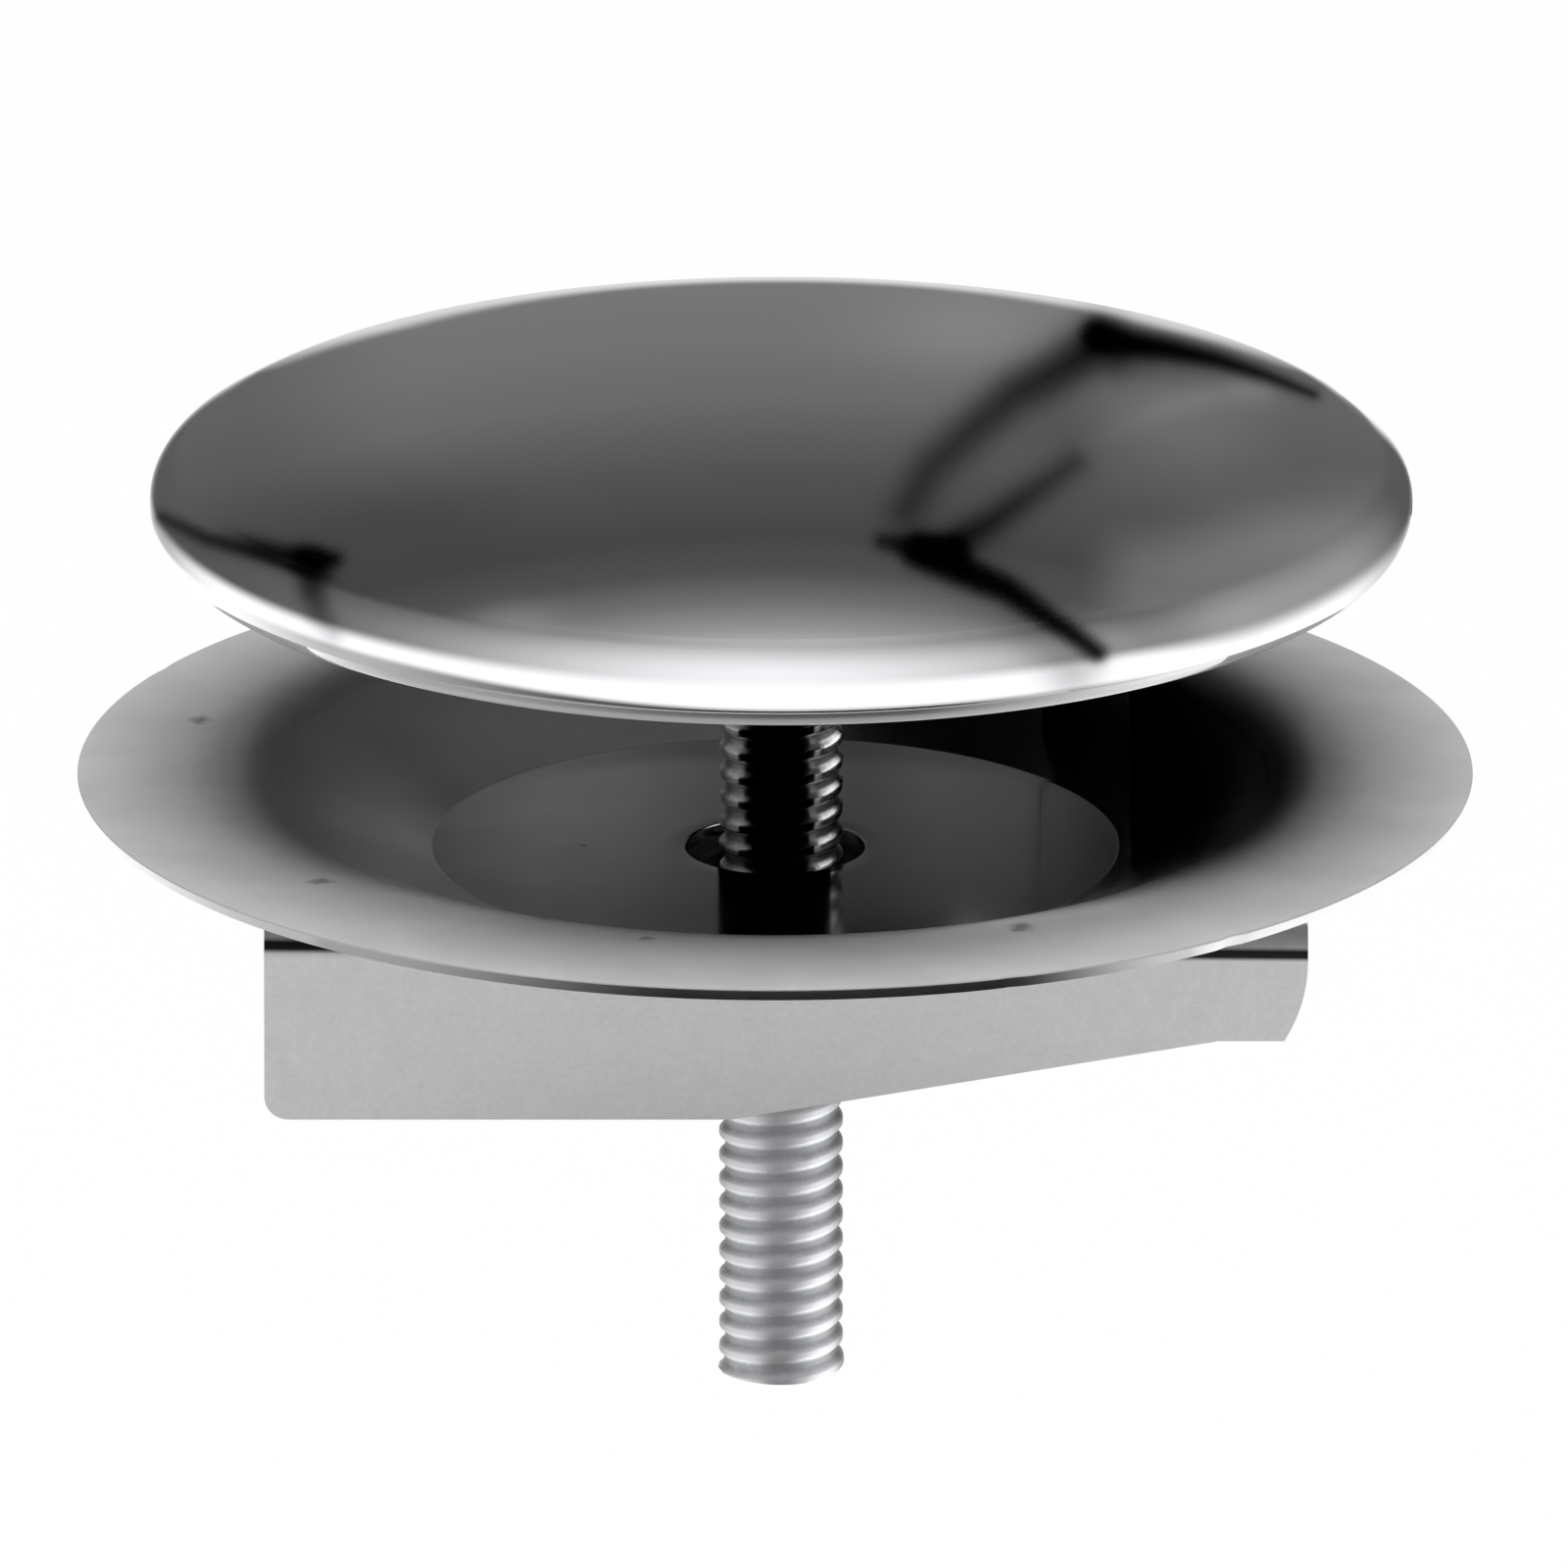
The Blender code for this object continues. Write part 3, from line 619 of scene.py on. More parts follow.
dish = turned("dish_washer_finished", dish_outline(), satin_zinc())
for vertex in dish.data.vertices:
    flat = Vector((vertex.co.x, vertex.co.y))
    if flat.length > dish_radius - knock_reach:
        turn = math.atan2(flat.y, flat.x)
        for degrees, depth, width in rim_knocks:
            away = (turn - math.radians(degrees)) * dish_radius / width
            shorter = 1 - depth * math.exp(-(away**2)) / flat.length
            vertex.co.x *= shorter
            vertex.co.y *= shorter
    vertex.co.x += dish_centre_x
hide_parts("dish_washer")
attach(dish, "washer")

# Wing bar: a strip of steel sheet, blanked with two tapered wings, bent down to a channel, and
# drawn and tapped in the middle as the nut of the stud. It is barrelled and plated to a fine satin.
bar_low, bar_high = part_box("bar_nut")
bar_middle_x = (bar_low.x + bar_high.x) / 2
bar_half = (bar_high.x - bar_low.x) / 2
bar_top = bar_high.z
bar_half_width = bar_high.y
bar_sheet = 1.2 * MM
bar_bend_radius = 1.5 * MM
bar_bend_steps = 10
wing_high = bar_top - bar_low.z
wing_low = 5.7 * MM
wing_taper_start = -2.8 * MM
wing_taper_end = 21.7 * MM
wing_corner_radius = 1.2 * MM
wing_sweep_radius = 8.0 * MM
relief_depth = 0.22 * MM
relief_half_width = 0.45 * MM
relief_inset = 0.2 * MM
bar_edge_round = 0.1 * MM
bar_round_from = 40
collar_radius = 4.8 * MM
collar_depth = 2.6 * MM
collar_fillet = 0.9 * MM
collar_break = 0.2 * MM
bore_countersink = 0.4 * MM
draw_radius = 0.9 * MM
# How far the collar reaches into the web and past the bore, and the cutter out of the web
collar_overlap, collar_spare, cut_margin = 0.3 * MM, 0.5 * MM, 1 * MM
# Painted shade round the stud's axis, seen through the washer's hole, as its material counts: black
# within, and gone beyond
hole_shade_full_mm, hole_shade_end_mm = 4.4, 5.2
# Black line painted along the bends as shade under the washer: its height on the stud's axis, its
# fall for each unit to the right, and its half width
shade_line_z = -18.08 * MM
shade_line_fall = 0.0084
shade_line_half = 0.26 * MM
web_flat = bar_half_width - bar_bend_radius
bend_length = bar_bend_radius * math.pi / 2


def wing_edge():
    """Lower edge of the front wing on the flat blank, as (x, distance out from the bend)."""
    corner = wing_high - wing_corner_radius
    sweep_drop = wing_low - bar_bend_radius
    sweep = math.degrees(math.asin(sweep_drop / wing_sweep_radius))
    points = [(-bar_half, corner)]
    points += arc((-bar_half + wing_corner_radius, corner), wing_corner_radius, 180, 90, 8)[1:]
    points += [(wing_taper_start, wing_high), (wing_taper_end, wing_low)]
    points += arc((bar_half - wing_sweep_radius, bar_bend_radius), wing_sweep_radius, sweep, 0, 14)
    return [(x, depth - bar_bend_radius) for x, depth in points]


def bar_blank():
    """The flat blank's outline (x, s), with s across the strip along its outer face."""
    wing_start = web_flat + bend_length
    side = [(x, -wing_start - depth) for x, depth in wing_edge()]
    relief_s = web_flat - relief_inset
    side += [
        (bar_half, -relief_s - relief_half_width),
        (bar_half - relief_depth, -relief_s),
        (bar_half, -relief_s + relief_half_width),
    ]
    return side + [(-x, -s) for x, s in side]


def bend_point(x, s):
    """Where a point of the blank lies once its wings are bent down."""
    out = abs(s)
    side = math.copysign(1, s)
    if out <= web_flat:
        return Vector((x, s, 0))
    if out <= web_flat + bend_length:
        turn = (out - web_flat) / bar_bend_radius
        reach = web_flat + bar_bend_radius * math.sin(turn)
        return Vector((x, side * reach, -bar_bend_radius * (1 - math.cos(turn))))
    return Vector((x, side * bar_half_width, -bar_bend_radius - (out - web_flat - bend_length)))


def bent_bar():
    """The blank, scored along its bend lines, bent to a channel and lowered to its place."""
    bm = bmesh.new()
    bm.faces.new([bm.verts.new((x, s, 0)) for x, s in bar_blank()])
    for side in (-1, 1):
        for step in range(bar_bend_steps + 1):
            line = side * (web_flat + bend_length * step / bar_bend_steps)
            everything = bm.verts[:] + bm.edges[:] + bm.faces[:]
            bmesh.ops.bisect_plane(
                bm, geom=everything, dist=MERGE_DISTANCE, plane_co=(0, line, 0), plane_no=(0, 1, 0)
            )
    for vertex in bm.verts:
        vertex.co = bend_point(vertex.co.x, vertex.co.y) + Vector((bar_middle_x, 0, bar_top))
    bmesh.ops.recalc_face_normals(bm, faces=bm.faces)
    if max(bm.faces, key=lambda face: face.calc_center_median().z).normal.z < 0:
        bmesh.ops.reverse_faces(bm, faces=bm.faces)
    mesh = bpy.data.meshes.new("bar_nut_finished")
    bm.to_mesh(mesh)
    bm.free()
    return in_scene("bar_nut_finished", mesh)


def satin_steel():
    """Barrelled and plated steel: a fine even satin with a few pits, a black line painted along each
    bend as shade under the washer, and black painted round the thread as the shade seen through the
    washer's hole."""
    material, tree, shader, place = metal_finish("satin_plated_steel", "#B8B8B8", 0.42)
    grain = add_node(tree, "ShaderNodeTexNoise", place, inputs={"Scale": 1 / 0.28, "Detail": 3})
    cloud = add_node(tree, "ShaderNodeTexNoise", place, inputs={"Scale": 1 / 2.2, "Detail": 4})
    pit = pits(tree, place, 2.6, 0.85, 0.03, 0.07)
    parts, _, radius = round_axis(tree, place)
    # A black line painted along the outer bends as shade under the washer
    level = add_node(
        tree, "ShaderNodeMath", parts["X"], shade_line_fall, parts["Z"], operation="MULTIPLY_ADD"
    )
    off_line = add_node(tree, "ShaderNodeMath", level, shade_line_z / MM, operation="SUBTRACT")
    off_line = add_node(tree, "ShaderNodeMath", off_line, operation="ABSOLUTE")
    half = shade_line_half / MM
    line = add_node(tree, "ShaderNodeMapRange", off_line, 0.6 * half, 1.4 * half, 1, 0)
    outward = add_node(tree, "ShaderNodeMath", parts["Y"], operation="ABSOLUTE")
    bent_y = bar_half_width / MM
    outer = add_node(tree, "ShaderNodeMapRange", outward, bent_y - 1.0, bent_y - 0.9, 0, 1)
    bend_shade = add_node(tree, "ShaderNodeMath", line, outer, operation="MULTIPLY")
    # Black painted round the stud as the shade seen through the washer's hole
    hole_shade = add_node(tree, "ShaderNodeMapRange", radius, hole_shade_full_mm, hole_shade_end_mm, 1, 0)
    stained = add_node(tree, "ShaderNodeMath", bend_shade, hole_shade, operation="MAXIMUM")
    pits_and_painted_shade = add_node(tree, "ShaderNodeMath", pit, stained, operation="MAXIMUM")
    grey = add_node(tree, "ShaderNodeMath", cloud, 0.6, operation="MULTIPLY")
    mottled = add_node(tree, "ShaderNodeMath", grain, 0.4, grey, operation="MULTIPLY_ADD")
    tone_share = add_node(tree, "ShaderNodeMapRange", mottled, 0.35, 0.65, 0, 1)
    tone_ends = {COLOUR_A: hex_colour("#A8A8A8"), COLOUR_B: hex_colour("#B4B4B4")}
    tone = add_node(tree, "ShaderNodeMix", tone_share, inputs=tone_ends, data_type="RGBA")
    marked_share = add_node(tree, "ShaderNodeMath", pits_and_painted_shade, 0.97, operation="MULTIPLY")
    marked_ends = {COLOUR_A: tone, COLOUR_B: hex_colour("#060606")}
    marked = add_node(tree, "ShaderNodeMix", marked_share, inputs=marked_ends, data_type="RGBA")
    rough = add_node(tree, "ShaderNodeMapRange", cloud, 0.3, 0.7, 0.38, 0.46)
    height = add_node(tree, "ShaderNodeMath", grain, pit, operation="SUBTRACT")
    relief = {"Strength": 0.18, "Distance": 0.03 * MM, "Height": height}
    bump = add_node(tree, "ShaderNodeBump", inputs=relief)
    set_inputs(tree, shader, {"Base Color": marked, "Roughness": rough, "Normal": bump})
    return material


def add_boolean(piece, other, operation):
    """Join or cut a piece with a helper, which is then removed."""
    boolean = piece.modifiers.new(other.name, "BOOLEAN")
    boolean.object = other
    boolean.operation = operation
    depsgraph = bpy.context.evaluated_depsgraph_get()
    made = bpy.data.meshes.new_from_object(piece.evaluated_get(depsgraph))
    piece.modifiers.clear()
    piece.data = made
    bpy.data.objects.remove(other)


bar = bent_bar()
satin = satin_steel()
bar.data.materials.append(satin)
wall = bar.modifiers.new("sheet", "SOLIDIFY")
wall.thickness = bar_sheet
wall.offset = -1
wall.use_even_offset = True

under_web = bar_top - bar_sheet
collar_bottom = under_web - collar_depth
collar_inner, collar_top = bore_radius - collar_spare, under_web + collar_overlap
collar_section = [(collar_inner, collar_top), (collar_radius + collar_fillet, collar_top)]
fillet_centre = (collar_radius + collar_fillet, under_web - collar_fillet)
collar_section += arc(fillet_centre, collar_fillet, 90, 180, 8)
break_centre = (collar_radius - collar_break, collar_bottom + collar_break)
collar_section += arc(break_centre, collar_break, 0, -90, 4)
collar_section += [(collar_inner, collar_bottom)]
collar = turned("bar_collar", collar_section, satin, steps=BORE_STEPS)
add_boolean(bar, collar, "UNION")

drawn_r, bore_top = bore_radius + draw_radius, bar_top + cut_margin
bore_foot = collar_bottom - bore_countersink / 2
bore_section = [(0, bore_top), (drawn_r, bore_top)]
bore_section += arc((drawn_r, bar_top - draw_radius), draw_radius, 90, 180, 8)
bore_section += [(bore_radius, collar_bottom + bore_countersink / 2)]
bore_section += [(bore_radius + bore_countersink, bore_foot), (0, bore_foot)]
bore = turned("bar_bore", bore_section, satin, steps=BORE_STEPS, closed=False)
add_boolean(bar, bore, "DIFFERENCE")
bar.data.name = "bar_nut_finished"
bar.data.shade_smooth()
bar.data.set_sharp_from_angle(angle=SHARP_ANGLE)
edges = bar.modifiers.new("edges", "BEVEL")
edges.width = bar_edge_round
edges.segments = 3
edges.limit_method = "ANGLE"
edges.angle_limit = math.radians(bar_round_from)
weighted = bar.modifiers.new("flat_faces_stay_flat", "WEIGHTED_NORMAL")
weighted.keep_sharp = True
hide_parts("bar_nut")
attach(bar, "wing_bar")

# Camera: a long lens far away, so that the view is almost without perspective, at the
# photograph's angle. The photograph shows 20.28 pixels to a millimetre at the stud.
PHOTO_PIXELS = 1600
camera_elevation = math.radians(18.12)
camera_distance = 3.4
camera_aim = Vector((0.148 * MM, 0, -12.86 * MM))
pixels_a_mm = 20.28
sensor_width = 36
camera_data = bpy.data.cameras.new("camera")
camera_data.sensor_width = sensor_width
camera_data.lens = sensor_width * camera_distance / (PHOTO_PIXELS / pixels_a_mm * MM)
camera_data.clip_start = 1
camera_data.clip_end = 40
camera = in_scene("camera", camera_data)
to_camera = Vector((0, -math.cos(camera_elevation), math.sin(camera_elevation)))
camera_up = Vector((0, math.sin(camera_elevation), math.cos(camera_elevation)))
camera.location = camera_aim + to_camera * camera_distance
camera.rotation_euler = (math.pi / 2 - camera_elevation, 0, 0)
bpy.context.scene.camera = camera

# Light tent: a small round tent of cloth, lit unevenly and with dark seams, which the polished
# metal mirrors. A tent is seen only in reflections, so it is hidden from the camera. Its cloth is
# laid out by the spot of the cap that mirrors each part of it to the camera.
tent_radius = 140.0
backing_radius = 150.0
backing_light = 0.9
cloth_columns = 720
cloth_rows_dome = 170
cloth_rows_edge = 100
# How near to the cap's outline the spots that mirror the cloth come
limb_share = 0.995
# Light that the dome mirrors, as (degrees above the horizon, light)
far_light = (
    (-13, 0.2),
    (10, 0.2),
    (20, 0.175),
    (30, 0.11),
    (38, 0.075),
    (42, 0.1),
    (45, 0.2),
    (47.5, 0.36),
    (49.5, 0.6),
    (60, 0.8),
)
# Seams where the photograph shows them on the cap: the pixels they pass, then their half width and
# their darkness at each end, and how many pixels their sides are soft
tent_seams = (
    (((1128, 341), (1160, 349), (1200, 355), (1250, 366), (1300, 382), (1352, 403)), (20, 5), (1, 1), 3),
    (((1150, 368), (1200, 374), (1250, 384)), (18, 10), (0.75, 0.4), 8),
    (((1128, 350), (1087, 376), (1039, 402), (998, 436), (953, 476), (927, 520)), (28, 18), (1, 0.72), 8),
    (((902, 553), (915, 555), (945, 561), (975, 563)), (9, 19), (0.9, 1), 3),
    (((940, 562), (992, 586), (1029, 602), (1075, 634), (1118, 667)), (21, 11), (1, 1), 3),
    (((985, 602), (1025, 624), (1065, 656), (1092, 682)), (18, 24), (0.15, 0.45), 8),
    (((968, 560), (1012, 534), (1057, 503), (1100, 473)), (17, 12), (1, 0.7), 6),
    (((166, 528), (213, 550), (240, 557), (280, 567), (312, 573)), (6, 13), (0.8, 1), 3),
    (((306, 571), (336, 572)), (14, 9), (1, 1), 3),
    (((318, 580), (320, 604), (328, 625), (342, 645)), (16, 9), (1, 0.4), 4),
)
# Soft patches on the dome: the pixel in their middle, their reach across and down, and how much
# brighter or darker they are
tent_patches = (
    ((990, 335), (110, 45), 0.3),
    ((520, 632), (45, 20), 0.5),
    ((1092, 435), (60, 45), -0.3),
    ((400, 530), (120, 50), -0.24),
)
# Broad changes of the dome's light, as the pixels between which each comes in or goes: it dims on
# the left and on the upper right, glows on the lower right, and is lifted at the right's foot
left_dims_x = (430, 220)
right_dims_x, right_dims_until_y = (1210, 1350), (470, 520)
right_glows_x, right_glows_y = (1170, 1320), (500, 565)
foot_lifts_x, foot_lifts_until_x, foot_lifts_y = (1095, 1180), (1200, 1330), (520, 590)
# A fold that catches the light beside the seams, given in the same way
tent_fold = (((1118, 453), (1160, 430), (1200, 415), (1250, 401), (1300, 399)), (8, 8), (0.1, 0.4), 6)


def photo_pixel(points):
    """Where the camera sees points, in the photograph's pixels."""
    away = points - np.array(camera_aim) / MM
    x = away[..., 0] * pixels_a_mm + PHOTO_PIXELS / 2
    y = PHOTO_PIXELS / 2 - away @ np.array(camera_up) * pixels_a_mm
    return x, y


def seam_shade(x, y, seam):
    """How dark a seam is at pixels x, y: 1 is black, with soft sides."""
    points, widths, strengths, softness = seam
    steps = np.array(points, float)
    lengths = np.linalg.norm(np.diff(steps, axis=0), axis=1)
    reached = np.concatenate([[0], np.cumsum(lengths)]) / lengths.sum()
    shade = np.zeros_like(x)
    for i in range(len(lengths)):
        start, run = steps[i], steps[i + 1] - steps[i]
        along = ((x - start[0]) * run[0] + (y - start[1]) * run[1]) / lengths[i] ** 2
        along = np.clip(along, 0, 1)
        gap = np.hypot(x - start[0] - along * run[0], y - start[1] - along * run[1])
        share = reached[i] + along * (reached[i + 1] - reached[i])
        width = widths[0] + (widths[1] - widths[0]) * share
        strength = strengths[0] + (strengths[1] - strengths[0]) * share
        soft = strength / (1 + np.exp(np.clip((gap - width) / softness, -20, 20)))
        shade = np.maximum(shade, soft)
    return shade


def glow(x, y, middle, size):
    """A soft patch of light round a pixel."""
    return np.exp(-(((x - middle[0]) / size[0]) ** 2) - ((y - middle[1]) / size[1]) ** 2)


def rise(value, start, end):
    """0 before start, 1 after end, and smooth between."""
    share = np.clip((value - start) / (end - start), 0, 1)
    return share * share * (3 - 2 * share)


def blend(start, end, share):
    """From start to end by a share of the way."""
    return start + (end - start) * share


def cloth_on_dome(x, y, lift, around, tilt):
    """Light of the cloth that the dome mirrors at pixels x, y, lift degrees above the horizon: it
    darkens upwards, is brighter low on the right, and is pale at the far rim."""
    light = np.interp(lift, *zip(*far_light))
    right_dims = rise(x, *right_dims_x) * (1 - rise(y, *right_dims_until_y))
    light *= 1 - 0.28 * rise(x, *left_dims_x) - 0.26 * right_dims
    light *= 1 + 1.15 * rise(x, *right_glows_x) * rise(y, *right_glows_y)
    for middle, size, change in tent_patches:
        light *= 1 + change * glow(x, y, middle, size)
    lifted = rise(x, *foot_lifts_x) * rise(y, *foot_lifts_y) * (1 - rise(x, *foot_lifts_until_x))
    light += 0.11 * lifted
    places = (112, 120, 135, 150, 180)
    far_rim = np.interp(np.abs(around), places, (16.5, 14.7, 13.2, 12.9, 12.6))
    return blend(light, 0.74, rise(90 - tilt, far_rim, far_rim + 2.2))


def cloth_on_edge(around, tilt):
    """Light of the cloth that the cap's edge mirrors, by degrees round from the front and degrees
    up: a white band runs round, with a dark mat below it in front."""
    top = 0.12 + 0.47 * np.exp(-(((around + 3) / 22.5) ** 2))
    low = 0.11 + 1.05 * np.exp(-(((around + 1) / 28) ** 2))
    light = blend(top, low, rise(-tilt, -74, -24))
    right = rise(around, 34, 48) * (1 - rise(around, 62, 84))
    light += right * blend(0.13, 0.26, rise(-tilt, -74, -24))
    white = 1.3 * (1 - 0.6 * rise(np.abs(around), 60, 80))
    band_top, fade = 12 - 14 * rise(around, 30, 50), 9 + 6 * rise(around, 30, 50)
    light = blend(light, white, rise(-tilt, -band_top - fade, -band_top + fade))
    band_low = -24 + 14 * rise(-around, 0, 40) - 13 * rise(around, 28, 48)
    mat = 0.03 + 0.62 * rise(-around, 10, 50) + 0.6 * rise(-around, 45, 62) + 0.85 * rise(around, 10, 42)
    light = blend(light, mat, rise(-tilt, -band_low - 6, -band_low + 6))
    past_side = 1.25 * np.abs(around) - 4 * rise(around, 50, 70) + 24 * rise(around, 90, 105)
    pale = blend(1.1, 0.85, rise(np.abs(around), 118, 145))
    return blend(light, pale, rise(past_side + (74.5 - tilt) / 2, 130.5, 158.5))


def mirrored_cloth():
    """The tent's cloth, each point of it where a spot of the cap's outer face mirrors it to the
    camera, and its light as an attribute."""
    turn = np.radians(np.linspace(-180, 180, cloth_columns, endpoint=False))
    limb = np.degrees(np.arctan2(to_camera.y * np.cos(turn), to_camera.z))
    dome_tilt = np.linspace(90, 90 - cap_dome_slope, cloth_rows_dome)[:, None] + 0 * turn
    share = np.linspace(0, limb_share, cloth_rows_edge)[1:, None]
    edge_tilt = blend(90 - cap_dome_slope, limb, share)
    tilt = np.radians(np.concatenate([dome_tilt, edge_tilt]))
    ring = np.stack([np.sin(turn) + 0 * tilt, -np.cos(turn) + 0 * tilt, 0 * tilt], axis=-1)
    normal = ring * np.cos(tilt)[..., None]
    normal[..., 2] = np.sin(tilt)
    spot = ring * cap_edge_r / MM + normal * cap_edge_radius / MM
    spot[..., 2] += cap_edge_radius / MM
    dome = normal[:cloth_rows_dome] * dome_radius / MM
    dome[..., 2] += dome_centre_z / MM
    spot[:cloth_rows_dome] = dome
    facing = np.array(to_camera)
    ray = 2 * (normal @ facing)[..., None] * normal - facing
    along = (spot * ray).sum(axis=-1)
    reach = np.sqrt(along**2 - (spot**2).sum(axis=-1) + tent_radius**2) - along
    points = spot + ray * reach[..., None]
    x, y = photo_pixel(spot)
    lift = np.degrees(np.arcsin(ray[:cloth_rows_dome, :, 2]))
    around = np.degrees(turn) + 0 * tilt
    domed = [part[:cloth_rows_dome] for part in (x, y, lift, around, np.degrees(tilt))]
    light = cloth_on_dome(*domed)
    edge_light = cloth_on_edge(around[cloth_rows_dome:], edge_tilt)
    # Degrees of the edge over which the dome's light passes into its own
    seam_tilt = 90 - cap_dome_slope
    passing = blend(18, 3, rise(np.abs(around[0]), 95, 112))
    edge_share = rise(seam_tilt - edge_tilt, 0, passing)
    light = np.concatenate([light, blend(light[-1], edge_light, edge_share)])
    light *= 1 + seam_shade(x, y, tent_fold)
    for seam in tent_seams:
        light *= 1 - seam_shade(x, y, seam)
    start = np.arange(light.size).reshape(light.shape)
    after = np.roll(start, -1, axis=1)
    faces = np.stack([start[:-1], start[1:], after[1:], after[:-1]], axis=-1).reshape(-1, 4)
    return points.reshape(-1, 3), faces, light.ravel()


def seen_in_mirrors_only(name, points, faces, light):
    """A studio fitting that only reflections show, glowing by its points' own light."""
    mesh = bpy.data.meshes.new(name)
    mesh.from_pydata((np.asarray(points) * MM).tolist(), [], np.asarray(faces).tolist())
    values = mesh.attributes.new("cloth_light", "FLOAT", "POINT")
    values.data.foreach_set("value", np.asarray(light, dtype=np.float32))
    mesh.materials.append(lit_cloth)
    fitting = in_scene(name, mesh)
    fitting.visible_camera = False
    fitting.visible_diffuse = False
    fitting.visible_shadow = False


lit_cloth = bpy.data.materials.new("lit_cloth")
lit_cloth.use_nodes = True
lit_cloth.cycles.emission_sampling = "NONE"
cloth_tree = lit_cloth.node_tree
cloth_tree.nodes.clear()
cloth_light = add_node(cloth_tree, "ShaderNodeAttribute", attribute_name="cloth_light").outputs["Fac"]
cloth_glow = add_node(cloth_tree, "ShaderNodeEmission", inputs={"Strength": cloth_light})
add_node(cloth_tree, "ShaderNodeOutputMaterial", cloth_glow)
seen_in_mirrors_only("light_tent", *mirrored_cloth())

# A plain pale backing closes what the cloth leaves open
backing = bmesh.new()
bmesh.ops.create_icosphere(backing, subdivisions=4, radius=backing_radius)
backing_points = [tuple(vertex.co) for vertex in backing.verts]
backing_faces = [[vertex.index for vertex in face.verts] for face in backing.faces]
backing.free()
seen_in_mirrors_only("tent_backing", backing_points, backing_faces, [backing_light] * len(backing_points))


# Cards: pieces of studio card round the object, seen only in reflections, which give the satin and
# bright metal between the cap and the bar its dark and pale parts. None belongs to the object.
# Their distances are in millimetres from the stud's axis and the cap's seat.
card_columns, card_rows = 61, 17


def bent_card(name, radii, turns, heights, light):
    """A card bent round the stud's axis, with its radii at its foot and top, between two turns in
    degrees from the back to the right. Its light is a number or a function of turn and height."""
    turn, height = np.meshgrid(np.linspace(*turns, card_columns), np.linspace(*heights, card_rows))
    radius = blend(*radii, (height - heights[0]) / (heights[1] - heights[0]))
    angle = np.radians(turn)
    points = np.stack([radius * np.sin(angle), radius * np.cos(angle), height], axis=-1)
    spot = np.arange(turn.size).reshape(turn.shape)
    faces = np.stack([spot[:-1, :-1], spot[:-1, 1:], spot[1:, 1:], spot[1:, :-1]], axis=-1)
    lights = light(turn, height) if callable(light) else np.full(turn.shape, light)
    seen_in_mirrors_only(name, points.reshape(-1, 3), faces.reshape(-1, 4), lights.ravel())


def black_card(name, x, depths, heights):
    """A black card edge-on to the camera. The washer's wall mirrors it, and its floor, which shows
    only what is straight behind, doesn't."""
    corners = [(x, y, z) for z in heights for y in depths]
    seen_in_mirrors_only(name, corners, [(0, 1, 3, 2)], [0] * 4)


def behind_stud(turn, height):
    """Light of the card behind the stud: brighter on the left and low down, black far right."""
    places = (-48, -40, -32, -23, -15, -7.5, 0, 7.5, 15, 23, 31, 40)
    lights = (0.05, 0.05, 0.1, 0.14, 0.125, 0.09, 0.08, 0.07, 0.09, 0.08, 0.035, 0)
    fall = blend(1.25, 0.65, rise(height, -11, -2)) * blend(1, 0.5, rise(height, -3.4, -1.2))
    return np.interp(turn, places, lights) * fall


def before_stud(turn, height):
    """Light of the card before the stud's lower end: dark in the middle, brightest on the right."""
    places = (60, 80, 105, 125, 146, 166, 200, 240)
    return np.interp(turn, places, (2.1, 3, 3, 1.9, 0.7, 0, 0, 1.7))


def close_to_stud(turn, height):
    """Light of the flag in front of the stud: black down to the washer, then fading to grey."""
    return 0.4 * rise(-height, 17, 27)


def under_cap(turn, height):
    """Light of the card that the cap's satin edge shows: grey in front and pale to the sides."""
    places = (125, 135, 150, 165, 180, 195, 210, 225, 232, 240)
    outer = np.interp(turn, places, (1.1, 1.05, 0.5, 0.13, 0.11, 0.2, 0.36, 0.5, 0.7, 1.2))
    inner = np.interp(turn, places, (1.1, 1.05, 0.6, 0.38, 0.34, 0.3, 0.26, 0.28, 0.55, 1.2))
    return blend(inner, outer, rise(height, -5.4, -5.1))


def under_rim(turn, height):
    """Light of the card that the washer's sheared edge shows: black in front."""
    return 0.7 * (1 - rise(turn, 142, 160)) + 0.4 * rise(turn, 188, 220)


# Low cards behind the stud and in the cap's shade, which the washer mirrors
bent_card("back_card", (30.5, 30.5), (-60, 62), (-12, -0.4), behind_stud)
bent_card("left_roof_card", (19, 31), (-75, 2), (-1.2, -0.5), 0.12)
bent_card("right_roof_card", (19, 34), (2, 80), (-1.2, -0.5), 0)
black_card("right_card", 17.6, (-6, 32), (-15.8, -0.6))
black_card("inner_right_card", 13.2, (11.5, 32), (-15, -0.6))
# A flag close before the stud, small white cards beside it and a shaded card before its lower end
bent_card("stud_flag", (3.9, 3.9), (140, 234), (-27, -1.5), close_to_stud)
bent_card("white_card", (12, 12), (48, 102), (-8, -1.5), 1.6)
bent_card("pale_card", (12, 12), (264, 312), (-8, -1.5), 0.3)
bent_card("lower_card", (37, 37), (60, 300), (-130, -40), before_stud)
# Rings under the edges of the cap and the washer
bent_card("cap_edge_card", (16, 32.5), (125, 240), (-6, -4.8), under_cap)
bent_card("washer_edge_card", (33, 37.5), (140, 225), (-15.4, -14.8), under_rim)

# Floor and background: a pale floor well below the object, white to the camera and in its
# reflections, which still takes a little of the object's shadow. It can be seen through from below.
floor_drop = 0.115
floor_size = 30.0
floor_whiteness = 0.98
sky_light = 0.35


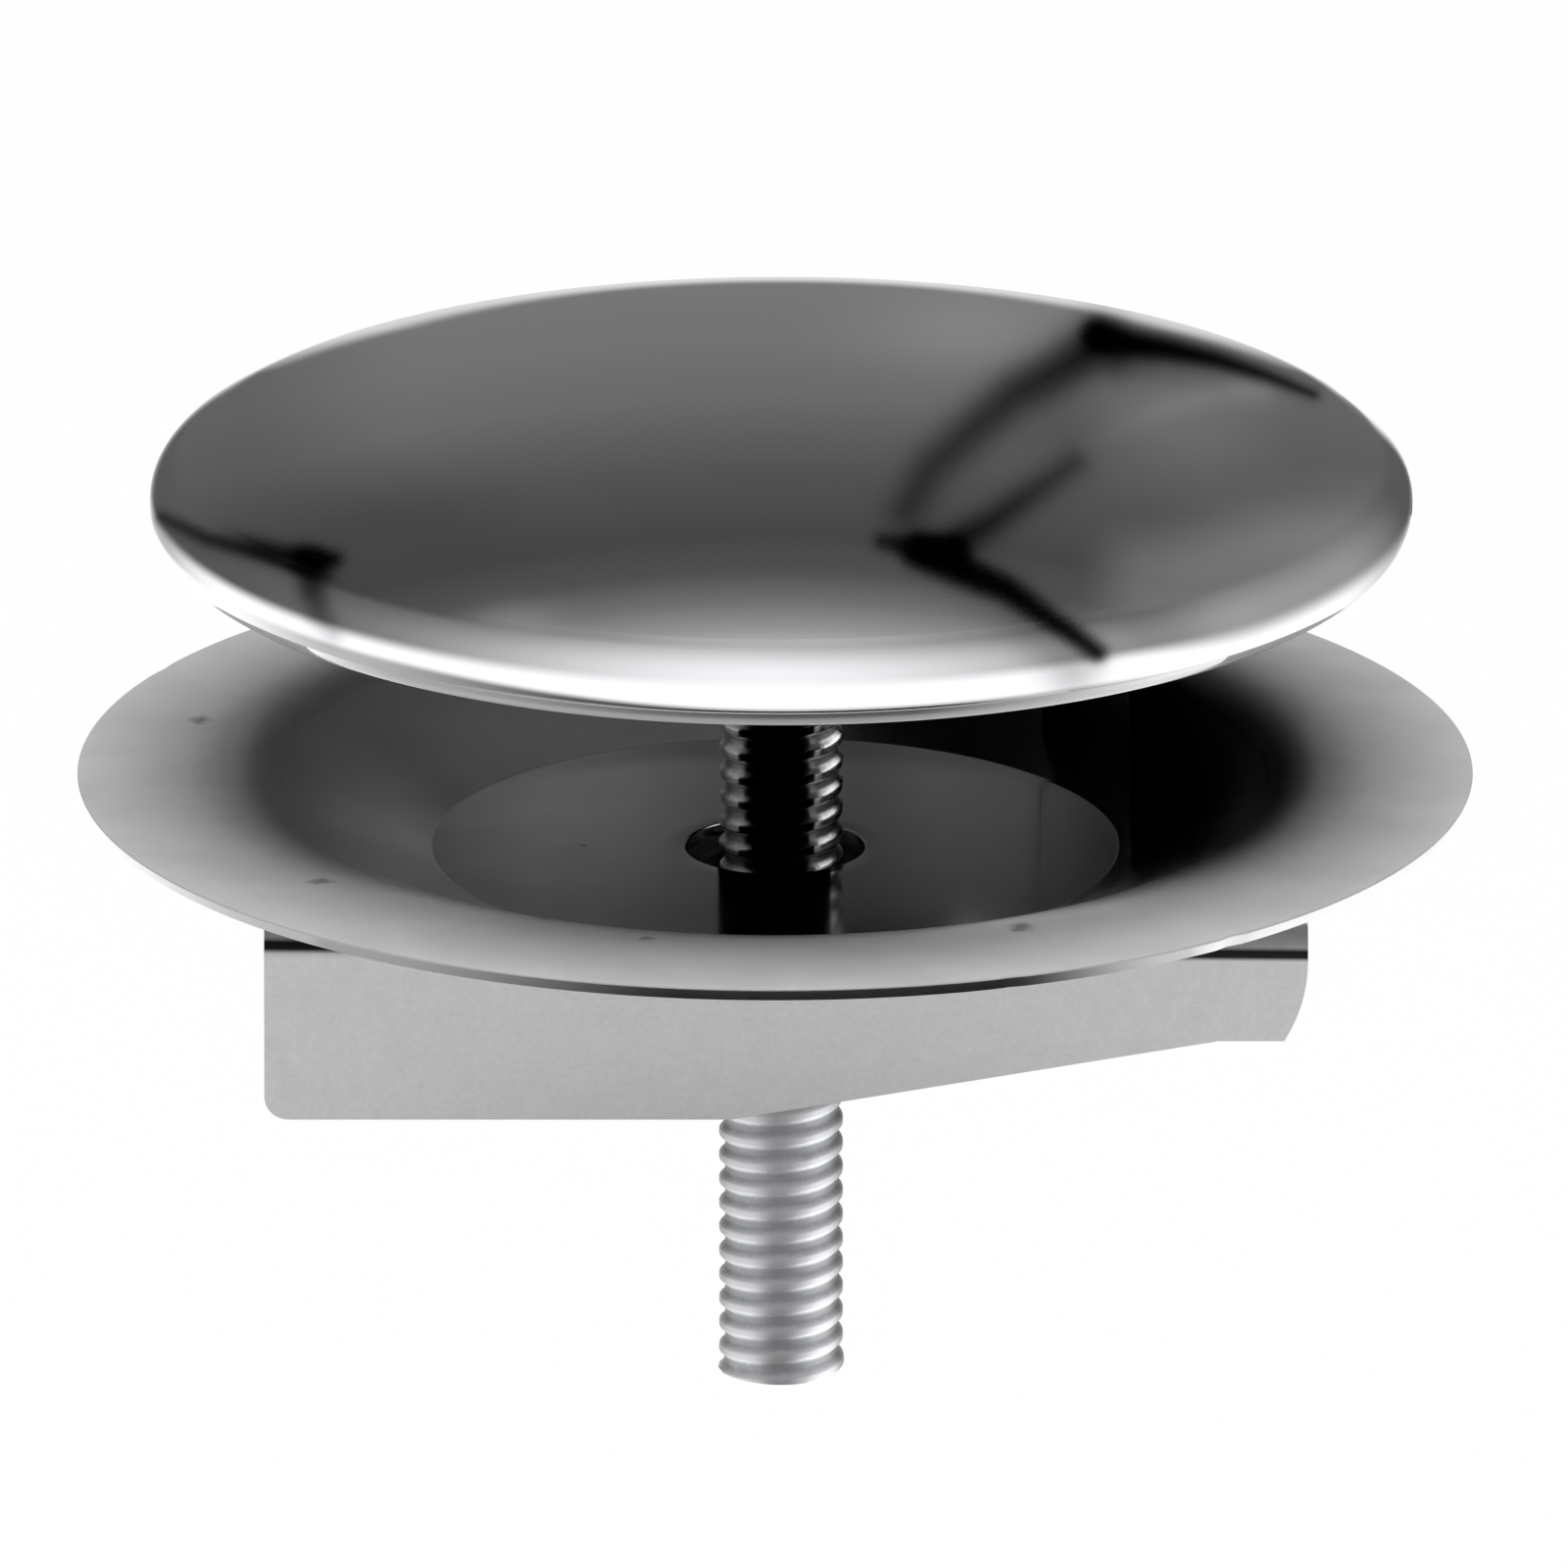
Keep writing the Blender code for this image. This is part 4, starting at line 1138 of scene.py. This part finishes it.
def whiteness(tree, seen_share):
    """How white a backdrop is to a ray: 1 in reflections, and a share as the camera sees it."""
    ray = add_node(tree, "ShaderNodeLightPath").outputs
    glossy, through = ray["Is Glossy Ray"], ray["Is Transmission Ray"]
    mirrored = add_node(tree, "ShaderNodeMath", glossy, through, operation="MAXIMUM")
    direct = ray["Is Camera Ray"]
    return add_node(tree, "ShaderNodeMath", direct, seen_share, mirrored, operation="MULTIPLY_ADD")


floor_mesh = bpy.data.meshes.new("pale_floor")
corner = floor_size / 2
floor_z = stud_low.z - floor_drop
corners = [(-corner, -corner), (corner, -corner), (corner, corner), (-corner, corner)]
floor_mesh.from_pydata([(x, y, floor_z) for x, y in corners], [], [(0, 1, 2, 3)])
floor = in_scene("pale_floor", floor_mesh)
floor_paint = bpy.data.materials.new("pale_paper")
floor_paint.use_nodes = True
paper = floor_paint.node_tree
paper.nodes.clear()
lit_paper = add_node(paper, "ShaderNodeBsdfDiffuse", hex_colour("#F6F6F6"))
white_paper = add_node(paper, "ShaderNodeEmission")
white_share = whiteness(paper, floor_whiteness)
seen = add_node(paper, "ShaderNodeMixShader", white_share, lit_paper, white_paper)
clear = add_node(paper, "ShaderNodeBsdfTransparent")
from_behind = add_node(paper, "ShaderNodeNewGeometry").outputs["Backfacing"]
paper_side = add_node(paper, "ShaderNodeMixShader", from_behind, seen, clear)
add_node(paper, "ShaderNodeOutputMaterial", paper_side)
floor_mesh.materials.append(floor_paint)

world = bpy.data.worlds.new("pale_background")
bpy.context.scene.world = world
world.use_nodes = True
sky = world.node_tree
sky_strength = add_node(sky, "ShaderNodeMapRange", whiteness(sky, 1), 0, 1, sky_light, 1)
set_inputs(sky, sky.nodes["Background"], {"Color": (1, 1, 1, 1), "Strength": sky_strength})

# Softbox: one broad round lamp straight above, which lights what is matt and lays the cap's soft
# shadow on the washer. The tent stands for it in reflections.
softbox_height, softbox_width, softbox_watts = 0.6, 0.62, 4.9
softbox = bpy.data.lights.new("softbox", "AREA")
softbox.shape = "DISK"
softbox.size = softbox_width
softbox.energy = softbox_watts
softbox_lamp = in_scene("softbox", softbox)
softbox_lamp.location = (0, 0, softbox_height)
softbox_lamp.visible_camera = False
softbox_lamp.visible_glossy = False

bpy.context.scene.view_settings.view_transform = "Standard"
